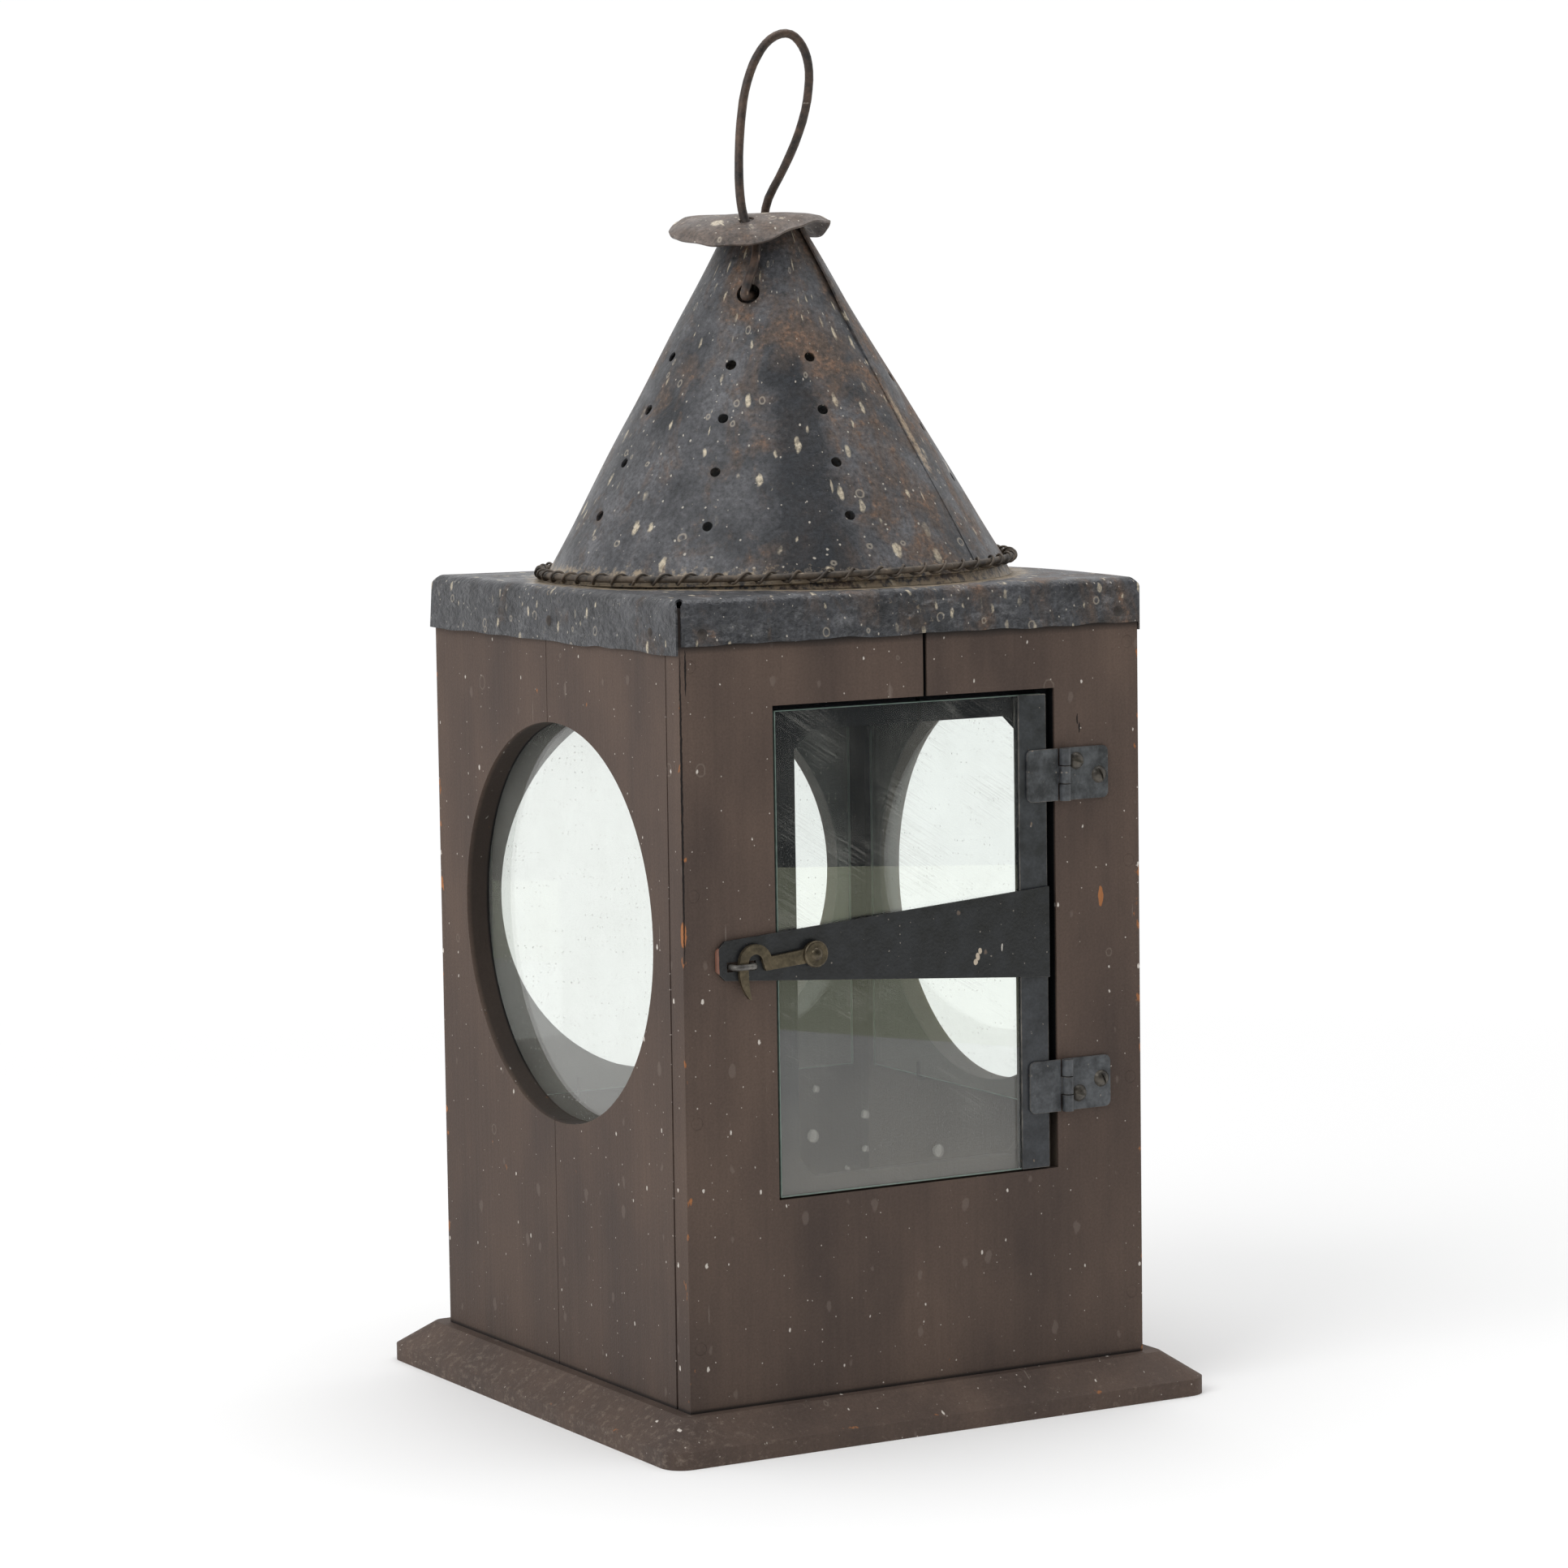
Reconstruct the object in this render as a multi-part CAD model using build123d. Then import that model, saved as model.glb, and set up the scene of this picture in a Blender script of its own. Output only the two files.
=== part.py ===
from build123d import *
import math
import os

# Painted wooden candle lantern with a punched tin roof.
# Millimetres, +Z up. The origin is the middle of the underside of the base board.
# The door is on the -Y side and its hinges are on the +X edge of the door opening.

# Wooden case
CASE_SIDE = 200.0        # outside width and depth of the board case
CASE_HEIGHT = 300.0      # length of the upright wall boards
WALL = 9.5               # thickness of the wall boards
BASE_MARGIN = 17.5       # the base board stands out this far beyond the case
BASE_HEIGHT = 16.0
BASE_EDGE = 6.5          # upright edge below the bevel
BASE_BEVEL = 13.0        # how far in the bevel runs
BASE_CORNER = 9.0        # rounding of the base corners
FRONT_JOINT = 4.0        # where the two boards of each wall meet, seen from outside
RIGHT_JOINT = 6.0
BACK_JOINT = -4.0
LEFT_JOINT = -5.0

# Round windows and their panes
WINDOW_DIA = 154.0
WINDOW_RISE = 172.0      # middle of the windows above the base board
PANE_LAP = 5.0           # how far a pane covers the wood round its window
PANE_THICK = 2.4
BRAD_DIA = 1.4           # bent brads that hold the panes
BRAD_REACH = 7.0         # length bent over the glass
BRAD_DEPTH = 6.0         # length driven into the wood
BRAD_SLACK = 0.2
BRAD_SPACING = 90.0      # between the two brads of one pane edge

# Nails and tacks of the case and roof
NAIL_DIA = 2.2
NAIL_HEAD = 4.8
NAIL_HEAD_DEPTH = 1.2
CASE_NAIL_COVER = 2.0    # least wood between the point of a case nail and a window
CASE_NAIL_ROWS = 4
CASE_NAIL_MARGIN = 24.0  # from the ends of the boards to the first and last row
BASE_NAIL_LENGTH = 34.0
BASE_NAIL_SINK = 0.6     # heads lie this far above the underside
TACK_DIA = 1.8
TACK_HEAD = 4.4
TACK_HEAD_RISE = 0.9
TACK_LENGTH = 8.0
TACK_INSET = 9.5         # from the end of a wall to its outer tacks
TACK_RISE = 7.5          # above the lower edge of the flange

# Door opening, a rabbet with a ledge behind it
OPENING_WIDTH = 123.0
OPENING_HEIGHT = 184.0
OPENING_SILL = 76.0      # above the base board
OPENING_X = 0.5
RABBET = 5.5
LEDGE_SIDE = 11.5
LEDGE_TOP = 10.0
LEDGE_FOOT = 6.5
LEDGE_CLIP = 7.0         # clipped inner corners

# Tin roof
TIN = 0.8
FLANGE_DROP = 20.5
FRONT_TRIM = 3.2         # the front flange is cut shorter
FLANGE_GAP = 0.2
CAP_FOLD = 2.4           # outside radius of the folded edges
CORNER_SLIT = 2.2        # open corners between the flanges
CORNER_BRIDGE = 3.0      # plate left above each slit
CONE_FOOT_DIA = 178.0
CONE_TOP_DIA = 29.2
CONE_HEIGHT = 132.0
CONE_SOLDER = 0.1        # solder gap between cone and collar
COLLAR_RISE = 7.0
LEAN = 1.3               # the whole roof leans this many degrees
LEAN_ANGLE = 150.0       # towards this angle about +Z, from +X
SEAM_ANGLE = -61.0
SEAM_LAP = 10.0
SEAM_CLEAR = 0.5         # the lap starts this far above the lacing
VENT_DIA = 4.0
VENT_ROWS = 4
VENT_FIRST = 20.5        # height of the lowest row above the foot of the cone
VENT_ROW_STEP = 19.7
# Angle about +Z of each column of vents, from just past the seam, and how far it is punched above the lowest rows
VENT_COLUMNS = (
    (-38.0, 13.5),
    (5.3, 5.0),
    (48.6, 5.0),
    (91.9, 5.0),
    (135.2, 5.0),
    (178.5, 4.8),
    (221.4, 1.2),
    (262.3, 3.3),
)
RIM_WIRE = 2.6
LACE_WIRE = 1.0
LACE_GAP = 0.2
LACE_TURNS = 56
LACE_OPEN = 4.0          # degrees left open between the ends of the lacing

# Smoke cap, a bent disc, and the bail that holds it
SMOKE_CAP_DIA = 62.0
SMOKE_CAP_SHIFT = 5.2    # off the axis of the cone, the way the roof leans
SMOKE_CAP_REST = 0.1
CAP_CROWN = 0.35         # share of the radius over which the middle is rounded
# Droop of the rim below the middle, every 30 degrees from the side against the lean round by the near side
CAP_RIM = (3.2, 2.2, 5.6, 10.6, 9.8, 7.6, 4.0, 0.6, 2.0, 5.5, 7.8, 7.7)
CAP_SHEET = 1.2          # the sheet the disc is cut from, as a share of the disc
BAIL_WIRE = 3.4
BAIL_HOLE = 8.4
BAIL_ANGLE = -133.5      # the nearer bail hole about +Z
BAIL_HOLE_DROP = 24.3    # below the top of the cone
BAIL_LIFT = 2.0          # free play of the bail
BAIL_SLACK = 1.0         # round the legs where they pass the smoke cap
BAIL_HOOK_BEND = 3.0
BAIL_HOOK_INNER = 16.0   # upturned ends, from the axis of the cone
BAIL_HOOK_RISE = 9.5
BAIL_REST = 0.35         # above the lower edge of its hole
BAIL_STANDOFF = 2.8      # legs outside the cone
BAIL_BEND = 0.45         # share of each straight that a hand bend takes up
# Corners of the bail as side, rise above the cone. The legs stand outside the cone, near and far.
NEAR_LEG = ((-1.1, -6.8), (-7.0, 2.5))
FAR_LEG = ((-0.6, 7.3), (2.4, -6.8))
# Corners of its free loop as side, near, rise above the cone.
BAIL_LOOP = (
    (-8.5, 16.5, 12.0),
    (-8.3, 14.0, 28.0),
    (-6.6, 10.0, 46.0),
    (-2.8, 7.0, 61.0),
    (4.2, 3.5, 72.2),
    (12.8, -0.5, 75.4),
    (18.8, -4.0, 68.6),
    (19.4, -7.0, 58.0),
    (16.3, -10.0, 41.5),
    (8.3, -14.0, 23.5),
)

# Door
DOOR_GLASS = 3.0
DOOR_GAP_LATCH = 1.0
DOOR_GAP_HINGE = 2.6
DOOR_GAP_FOOT = 0.8
DOOR_GAP_TOP = 2.0
DOOR_PROUD = 0.6         # the channel stands this far in front of the wall
CHANNEL_FACE = 14.0
CHANNEL_SLACK = 0.1
ARM_TIN = 1.2
ARM_TIP_OVERLAP = 26.0   # the arm reaches this far over the wall
ARM_TIP_HEIGHT = 14.6
ARM_END_HEIGHT = 34.8
ARM_CLIP = 3.5

# Hinges
HINGE_TIN = 1.0
HINGE_HEIGHT = 20.0
HINGE_INSET = 31.0       # from the ends of the door to the middle of a hinge
HINGE_OFFSET = 3.1       # pin axis beyond the edge of the opening
HINGE_STANDOFF = 0.2     # knuckle clear of the wall
PIN_DIA = 2.0
PIN_FIT = 0.05
KNUCKLE_DIA = 4.4
KNUCKLE_GAP = 0.3
DOOR_LEAF = 16.6         # from the pin axis
WALL_LEAF = 20.4
LEAF_CORNER = 2.5
SCREW_DIA = 3.0
SCREW_HEAD = 6.6
SCREW_HEAD_RISE = 2.1
SCREW_LENGTH = 8.5
SCREW_SLOT = 0.9
SCREW_NEAR = 6.0         # from the pin axis
SCREW_FAR = 16.2
UPPER_SCREW_RISES = (4.8, -1.0)
LOWER_SCREW_RISES = (-3.8, 1.0)
SCREW_SLOT_TURNS = (20.0, 65.0)

# Latch hook on the arm and staple in the wall
HOOK_INSET = 14.7        # pivot from the latch edge of the opening
HOOK_TIN = 1.8
HOOK_WIDTH = 3.8
HOOK_GAP = 0.2           # between arm and hook
HOOK_PLAY = 1.9          # round the staple inside the crook
HOOK_EYE = 9.2
HOOK_NECK = 2.0          # start of the hook's arm, from the pivot
HOOK_SHOULDER = 1.7      # upper edge of the hook's arm above the middle of the crook
HOOK_HEEL = (1.3, -3.4)  # lower corner of the hook's arm, from the inside of the crook
CROOK_X = -25.3          # middle of the crook, from the pivot
CROOK_Z = -1.2
SHANK_REACH = 14.8       # tip below the pivot
SHANK_TIP = (0.3, 1.1)   # edges of the tip, from the inside of the crook
SHANK_WIDEST = 0.55      # share of the reach where the shank bows out
SHANK_BOW = (0.5, 0.1)   # how far its outer and inner edge have come in there
WASHER_DIA = 10.2
WASHER_THICK = 1.2
WASHER_GAP = 0.1
RIVET_DIA = 3.0
RIVET_FIT = 0.05
RIVET_HEAD = 5.0
RIVET_HEAD_RISE = 1.3
RIVET_BACK = 0.4
STAPLE_WIRE = 2.2
STAPLE_SHIFT = 0.7       # inner leg from the middle of the crook
STAPLE_REACH = 1.4       # outer leg clear of the hook
STAPLE_Z = -2.4          # from the hook pivot
STAPLE_BEND = 2.0
STAPLE_DEPTH = 8.0
STAPLE_GAP = 0.3         # between hook and staple
SLOT_GAP = 0.7           # round the staple in the arm

# Candle holder on the floor of the case
PAN_DIA = 84.0
PAN_FLOOR = 70.0
PAN_DEPTH = 6.0
SOCKET_BORE = 22.4
SOCKET_HEIGHT = 30.0
PAN_TACKS = 3
PAN_TACK_RADIUS = 24.0

# Places worked out from the sizes above
FRONT = -CASE_SIDE / 2
BASE_SIDE = CASE_SIDE + 2 * BASE_MARGIN
CASE_TOP = BASE_HEIGHT + CASE_HEIGHT
INNER_FACE = FRONT + WALL
WALL_TURNS = {"front": 0.0, "right": 90.0, "back": 180.0, "left": -90.0}
WALL_JOINTS = {"front": FRONT_JOINT, "right": RIGHT_JOINT, "back": BACK_JOINT, "left": LEFT_JOINT}
FULL_WIDTH_WALLS = ("front", "back")
WINDOW_Z = BASE_HEIGHT + WINDOW_RISE
CASE_NAIL_LENGTH = (CASE_SIDE - WINDOW_DIA) / 2 - CASE_NAIL_COVER

OPENING_LEFT = OPENING_X - OPENING_WIDTH / 2
OPENING_RIGHT = OPENING_X + OPENING_WIDTH / 2
OPENING_FOOT = BASE_HEIGHT + OPENING_SILL
OPENING_HEAD = OPENING_FOOT + OPENING_HEIGHT

CAP_TOP = CASE_TOP + TIN
CAP_SIDE = CASE_SIDE + 2 * (FLANGE_GAP + TIN)
FLANGE_FOOT = CAP_TOP - FLANGE_DROP

CONE_SLOPE = (CONE_FOOT_DIA - CONE_TOP_DIA) / 2 / CONE_HEIGHT
CONE_TILT = math.degrees(math.atan(CONE_SLOPE))
CONE_WALL = TIN / math.cos(math.radians(CONE_TILT))
RIM_OFFSET = RIM_WIRE / 2 + LACE_WIRE + 2 * LACE_GAP
LACE_RING = RIM_WIRE / 2 + LACE_GAP + LACE_WIRE / 2
SEAM_START = 2 * RIM_OFFSET + SEAM_CLEAR
BAIL_HOLE_HEIGHT = CONE_HEIGHT - BAIL_HOLE_DROP


def cone_radius(height):
    """Outside radius of the roof cone at a height above its foot."""
    return CONE_FOOT_DIA / 2 - CONE_SLOPE * height


RIM_RADIUS = cone_radius(RIM_OFFSET) + RIM_OFFSET / math.cos(math.radians(CONE_TILT))
ROOF_LIFT = (RIM_RADIUS + RIM_OFFSET) * math.sin(math.radians(LEAN))
LEAN_AXIS = (-math.sin(math.radians(LEAN_ANGLE)), math.cos(math.radians(LEAN_ANGLE)), 0)
ROOF = Location((0, 0, CAP_TOP + ROOF_LIFT), LEAN_AXIS, LEAN)
COLLAR_OFFSET = -CONE_WALL - CONE_SOLDER
COLLAR_SINK = 2 * ROOF_LIFT + 2 * TIN

CHANNEL_FRONT = FRONT - DOOR_PROUD
ARM_FRONT = CHANNEL_FRONT - ARM_TIN
GLASS_FRONT = CHANNEL_FRONT + TIN + CHANNEL_SLACK
DOOR_LEFT = OPENING_LEFT + DOOR_GAP_LATCH
DOOR_RIGHT = OPENING_RIGHT - DOOR_GAP_HINGE
DOOR_FOOT = OPENING_FOOT + DOOR_GAP_FOOT
DOOR_HEAD = OPENING_HEAD - DOOR_GAP_TOP
ARM_Z = (DOOR_FOOT + DOOR_HEAD) / 2
HINGE_X = OPENING_RIGHT + HINGE_OFFSET
HINGE_Y = FRONT - HINGE_STANDOFF - KNUCKLE_DIA / 2
HINGE_HEIGHTS = {"upper": DOOR_HEAD - HINGE_INSET, "lower": DOOR_FOOT + HINGE_INSET}
SCREW_RISES = {"upper": UPPER_SCREW_RISES, "lower": LOWER_SCREW_RISES}

HOOK_X = OPENING_LEFT + HOOK_INSET
HOOK_BACK = ARM_FRONT - HOOK_GAP
HOOK_FRONT = HOOK_BACK - HOOK_TIN
CROOK_INNER = STAPLE_WIRE / 2 + HOOK_PLAY
CROOK_OUTER = CROOK_INNER + HOOK_WIDTH
STAPLE_INNER_X = CROOK_X - STAPLE_SHIFT
STAPLE_OUTER_X = CROOK_X - CROOK_OUTER - STAPLE_REACH - STAPLE_WIRE / 2
WASHER_BACK = HOOK_FRONT - WASHER_GAP
STAPLE_BAR_Y = HOOK_FRONT - STAPLE_GAP - STAPLE_WIRE / 2

FOOT = (Align.CENTER, Align.CENTER, Align.MIN)
INTO_WALL = Rot(-90, 0, 0)


def block(x_range, y_range, z_range):
    """A box between three pairs of limits."""
    low = (x_range[0], y_range[0], z_range[0])
    size = (x_range[1] - x_range[0], y_range[1] - y_range[0], z_range[1] - z_range[0])
    return Pos(*low) * Box(*size, align=(Align.MIN, Align.MIN, Align.MIN))


def front_plate(outline, back, front):
    """A flat plate parallel to the front wall, from a sketch drawn as seen from the front."""
    return Pos(0, back, 0) * Rot(90, 0, 0) * extrude(outline, back - front, dir=(0, 0, 1))


def along_wall(wall):
    """Half the length of a wall between its ends."""
    return CASE_SIDE / 2 if wall in FULL_WIDTH_WALLS else CASE_SIDE / 2 - WALL


def evenly(first, last, count):
    """Evenly spaced places, ends included."""
    return [first + (last - first) * i / (count - 1) for i in range(count)]


def nail(head, head_depth, shank, length):
    """A flat headed nail along +Z, with the face of its head at the origin."""
    return Cylinder(head / 2, head_depth, align=FOOT) + Cylinder(shank / 2, length, align=FOOT)


def dome(diameter, rise):
    """A round head that rises along -Z from a flat face at the origin."""
    radius = (diameter ** 2 / 4 + rise ** 2) / (2 * rise)
    ball = Pos(0, 0, radius - rise) * Sphere(radius)
    return ball & Pos(0, 0, -rise) * Cylinder(diameter, rise, align=FOOT)


def tack(length):
    """A round headed tack along +Z, with the underside of its head at the origin."""
    return dome(TACK_HEAD, TACK_HEAD_RISE) + Cylinder(TACK_DIA / 2, length, align=FOOT)


# Wooden case


def base_board():
    """Square board with a bevelled upper edge and rounded corners."""
    foot = RectangleRounded(BASE_SIDE, BASE_SIDE, BASE_CORNER)
    top_side = BASE_SIDE - 2 * BASE_BEVEL
    top = RectangleRounded(top_side, top_side, BASE_CORNER / 2)
    bevel = loft([Pos(0, 0, BASE_EDGE) * foot, Pos(0, 0, BASE_HEIGHT) * top], ruled=True)
    return extrude(foot, BASE_EDGE) + bevel


def case_outside():
    """The outside of the case, eased along the top under the folds of the cap."""
    body = Pos(0, 0, BASE_HEIGHT) * Box(CASE_SIDE, CASE_SIDE, CASE_HEIGHT, align=FOOT)
    return chamfer(body.faces().sort_by(Axis.Z)[-1].edges(), CAP_FOLD)


def round_window():
    """The round hole of a wall, in the place of the front wall."""
    return Pos(0, FRONT + WALL / 2, WINDOW_Z) * INTO_WALL * Cylinder(WINDOW_DIA / 2, 2 * WALL)


def door_opening():
    """The rabbet for the door and the smaller opening behind its ledge."""
    rabbet = block(
        (OPENING_LEFT, OPENING_RIGHT), (FRONT - WALL, FRONT + RABBET), (OPENING_FOOT, OPENING_HEAD)
    )
    inner = block(
        (OPENING_LEFT + LEDGE_SIDE, OPENING_RIGHT - LEDGE_SIDE),
        (FRONT - WALL, FRONT + 2 * WALL),
        (OPENING_FOOT + LEDGE_FOOT, OPENING_HEAD - LEDGE_TOP),
    )
    return rabbet + chamfer(inner.edges().filter_by(Axis.Y), LEDGE_CLIP)


def wall_boards(wall, fastenings):
    """The two boards of a wall, cut for its window or door and for its nails."""
    half = along_wall(wall)
    joint = WALL_JOINTS[wall]
    opening = door_opening() if wall == "front" else round_window()
    turn = Rot(0, 0, WALL_TURNS[wall])
    boards = []
    for start, end in ((-half, joint), (joint, half)):
        board = block((start, end), (FRONT, INNER_FACE), (BASE_HEIGHT, CASE_TOP)) - opening
        boards.append((turn * board & case_outside()) - fastenings)
    return boards


def case_nails():
    """Nails through the ends of the front and back walls into the side walls."""
    shape = nail(NAIL_HEAD, NAIL_HEAD_DEPTH, NAIL_DIA, CASE_NAIL_LENGTH)
    heights = evenly(BASE_HEIGHT + CASE_NAIL_MARGIN, CASE_TOP - CASE_NAIL_MARGIN, CASE_NAIL_ROWS)
    edge = CASE_SIDE / 2 - WALL / 2
    return [
        Rot(0, 0, WALL_TURNS[wall]) * Pos(x, FRONT, z) * INTO_WALL * shape
        for wall in FULL_WIDTH_WALLS
        for x in (-edge, edge)
        for z in heights
    ]


def base_nails():
    """One nail from below into the foot of every wall board."""
    shape = nail(NAIL_HEAD, NAIL_HEAD_DEPTH, NAIL_DIA, BASE_NAIL_LENGTH)
    nails = []
    for wall, turn in WALL_TURNS.items():
        for end in (-along_wall(wall), along_wall(wall)):
            x = (end + WALL_JOINTS[wall]) / 2
            nails.append(Rot(0, 0, turn) * Pos(x, FRONT + WALL / 2, BASE_NAIL_SINK) * shape)
    return nails


def base_nail_holes():
    """The nail holes of the base board, open below the sunk heads."""
    sink = Cylinder(NAIL_HEAD / 2, BASE_NAIL_SINK + NAIL_HEAD_DEPTH, align=FOOT)
    heads = []
    for piece in base_nails():
        middle = piece.bounding_box().center()
        heads.append(Pos(middle.X, middle.Y, 0) * sink)
    return base_nails() + heads


def window_pane(wall):
    """A square pane against the inside of a wall."""
    half = WINDOW_DIA / 2 + PANE_LAP
    pane = block((-half, half), (INNER_FACE, INNER_FACE + PANE_THICK), (WINDOW_Z - half, WINDOW_Z + half))
    return Rot(0, 0, WALL_TURNS[wall]) * pane


def pane_brads():
    """Bent brads above and below each pane, driven into the wall."""
    over_glass = INNER_FACE + PANE_THICK + BRAD_SLACK + BRAD_DIA / 2
    edge = WINDOW_DIA / 2 + PANE_LAP + BRAD_SLACK + BRAD_DIA / 2
    brads = []
    for side in (-1, 1):
        z = WINDOW_Z + side * edge
        for x in (-BRAD_SPACING / 2, BRAD_SPACING / 2):
            path = FilletPolyline(
                (x, INNER_FACE - BRAD_DEPTH, z),
                (x, over_glass, z),
                (x, over_glass, z - side * BRAD_REACH),
                radius=BRAD_DIA,
            )
            brads.append(round_bar(path, BRAD_DIA))
    return [Rot(0, 0, WALL_TURNS[wall]) * brad for wall in ("left", "right", "back") for brad in brads]


def round_bar(path, diameter):
    """A round wire along a path."""
    return sweep(Plane(path @ 0, z_dir=path % 0) * Circle(diameter / 2), path)


# Tin roof


def frustum(radius_offset, low, high):
    """A solid cone slice parallel to the roof cone, between two heights above its foot."""
    slice_height = high - low
    return Pos(0, 0, low) * Cone(
        cone_radius(low) + radius_offset, cone_radius(high) + radius_offset, slice_height, align=FOOT
    )


def square_to_cone(angle, height):
    """A place on the cone, with Z pointing straight out of its surface."""
    return Rot(0, 0, angle) * Pos(cone_radius(height), 0, height) * Rot(0, 90 - CONE_TILT, 0)


def tin_cap():
    """Square plate with folded flanges, open corners and a round hole under the cone."""
    inside = CAP_SIDE - 2 * TIN
    outer = Pos(0, 0, FLANGE_FOOT) * Box(CAP_SIDE, CAP_SIDE, FLANGE_DROP, align=FOOT)
    inner = Pos(0, 0, FLANGE_FOOT) * Box(inside, inside, FLANGE_DROP - TIN, align=FOOT)
    outer = fillet(outer.faces().sort_by(Axis.Z)[-1].edges(), CAP_FOLD)
    inner = fillet(inner.faces().sort_by(Axis.Z)[-1].edges(), CAP_FOLD - TIN)
    slit = Box(2 * CORNER_SLIT, 2 * CORNER_SLIT, FLANGE_DROP - CORNER_BRIDGE, align=FOOT)
    corner = CAP_SIDE / 2
    slits = [Pos(x, y, FLANGE_FOOT) * slit for x in (-corner, corner) for y in (-corner, corner)]
    trim = Pos(0, -corner, FLANGE_FOOT) * Box(CAP_SIDE, 2 * CORNER_SLIT, FRONT_TRIM, align=FOOT)
    return outer - inner - slits - trim - collar_bore() - cap_tacks()


def collar_bore():
    """The clear space inside the collar, down through the plate."""
    return ROOF * frustum(COLLAR_OFFSET - CONE_WALL, -COLLAR_SINK, COLLAR_RISE + TIN)


def roof_collar():
    """Tin ring on the plate, soldered inside the foot of the cone."""
    ring = ROOF * frustum(COLLAR_OFFSET, -COLLAR_SINK, COLLAR_RISE) - collar_bore()
    above_plate = Pos(0, 0, CAP_TOP) * Box(CAP_SIDE, CAP_SIDE, CONE_HEIGHT, align=FOOT)
    return ring & above_plate


def cap_tacks():
    """Three tacks through each flange."""
    shape = tack(TIN + FLANGE_GAP + TACK_LENGTH)
    z = FLANGE_FOOT + TACK_RISE
    tacks = []
    for wall, turn in WALL_TURNS.items():
        end = along_wall(wall) - TACK_INSET
        for x in (-end, 0, end):
            tacks.append(Rot(0, 0, turn) * Pos(x, -CAP_SIDE / 2, z) * INTO_WALL * shape)
    return tacks


def roof_cone():
    """Truncated cone with a lapped seam, rows of punched vents and two holes for the bail."""
    strip = Rot(0, 0, SEAM_ANGLE) * Box(
        CONE_FOOT_DIA, SEAM_LAP, CONE_HEIGHT, align=(Align.MIN, Align.MIN, Align.MIN)
    )
    lap = frustum(CONE_WALL, SEAM_START, CONE_HEIGHT) & strip
    shell = frustum(0, 0, CONE_HEIGHT) + lap - frustum(-CONE_WALL, 0, CONE_HEIGHT)
    vent = Cylinder(VENT_DIA / 2, 4 * VENT_DIA)
    holes = []
    for angle, lift in VENT_COLUMNS:
        for row in range(VENT_ROWS):
            holes.append(square_to_cone(angle, VENT_FIRST + lift + row * VENT_ROW_STEP) * vent)
    for angle in (BAIL_ANGLE, BAIL_ANGLE + 180):
        holes.append(square_to_cone(angle, BAIL_HOLE_HEIGHT) * Cylinder(BAIL_HOLE / 2, BAIL_HOLE))
    return ROOF * (shell - holes)


def rim_wire():
    """Plain wire ring round the foot of the cone."""
    return ROOF * Pos(0, 0, RIM_OFFSET) * Torus(RIM_RADIUS, RIM_WIRE / 2)


def lace_point(angle):
    """A point of the lacing at an angle round the cone, which winds round the rim wire."""
    wind = angle * LACE_TURNS
    reach = RIM_RADIUS + LACE_RING * math.cos(wind)
    return Vector(reach * math.cos(angle), reach * math.sin(angle), RIM_OFFSET + LACE_RING * math.sin(wind))


def lace_direction(angle):
    """The direction of the lacing at an angle round the cone."""
    step = math.pi / LACE_TURNS / 1000
    return (lace_point(angle + step) - lace_point(angle - step)).normalized()


def biarc(start, start_direction, end, end_direction):
    """Two arcs that join two points and are tangent to both directions."""
    span = end - start
    both = start_direction + end_direction
    spread = 2 * (1 - start_direction.dot(end_direction))
    lean = span.dot(both)
    reach = (math.sqrt(lean ** 2 + spread * span.dot(span)) - lean) / spread
    first = start + start_direction * reach
    second = end - end_direction * reach
    middle = (first + second) / 2
    return [
        Edge.make_tangent_arc(start, start_direction, middle),
        Edge.make_tangent_arc(middle, second - first, end),
    ]


def lacing_wire():
    """One unbroken wire wound round the rim wire, with straight ends."""
    opening = math.radians(LACE_OPEN)
    quarter = math.pi / 2 / LACE_TURNS
    quarter_turns = int((2 * math.pi - opening) / quarter)
    angles = [i * quarter for i in range(quarter_turns + 1)]
    places = [lace_point(angle) for angle in angles]
    ways = [lace_direction(angle) for angle in angles]
    edges = [Edge.make_line(places[0] - ways[0] * LACE_WIRE, places[0])]
    for i in range(quarter_turns):
        edges += biarc(places[i], ways[i], places[i + 1], ways[i + 1])
    edges.append(Edge.make_line(places[-1], places[-1] + ways[-1] * LACE_WIRE))
    print(f"least gap of the lacing to itself: {lace_self_gap():.2f} mm")
    return ROOF * round_bar(Wire(edges), LACE_WIRE)


def lace_self_gap():
    """Least clear space between neighbouring turns of the lacing, on points along one turn."""
    points_per_turn = 48
    turn = 2 * math.pi / LACE_TURNS
    first = [lace_point(turn * i / points_per_turn) for i in range(points_per_turn)]
    later = [lace_point(turn * (1 + i / points_per_turn)) for i in range(points_per_turn)]
    return min((a - b).length for i, a in enumerate(first) for b in later[i:]) - LACE_WIRE


def roof_place(side, near, height):
    """A place over the foot of the cone: side is against the lean, near is towards the front left."""
    turn = math.radians(LEAN_ANGLE - 180)
    x = side * math.cos(turn) + near * math.sin(turn)
    y = side * math.sin(turn) - near * math.cos(turn)
    return Vector(x, y, height)


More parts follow.
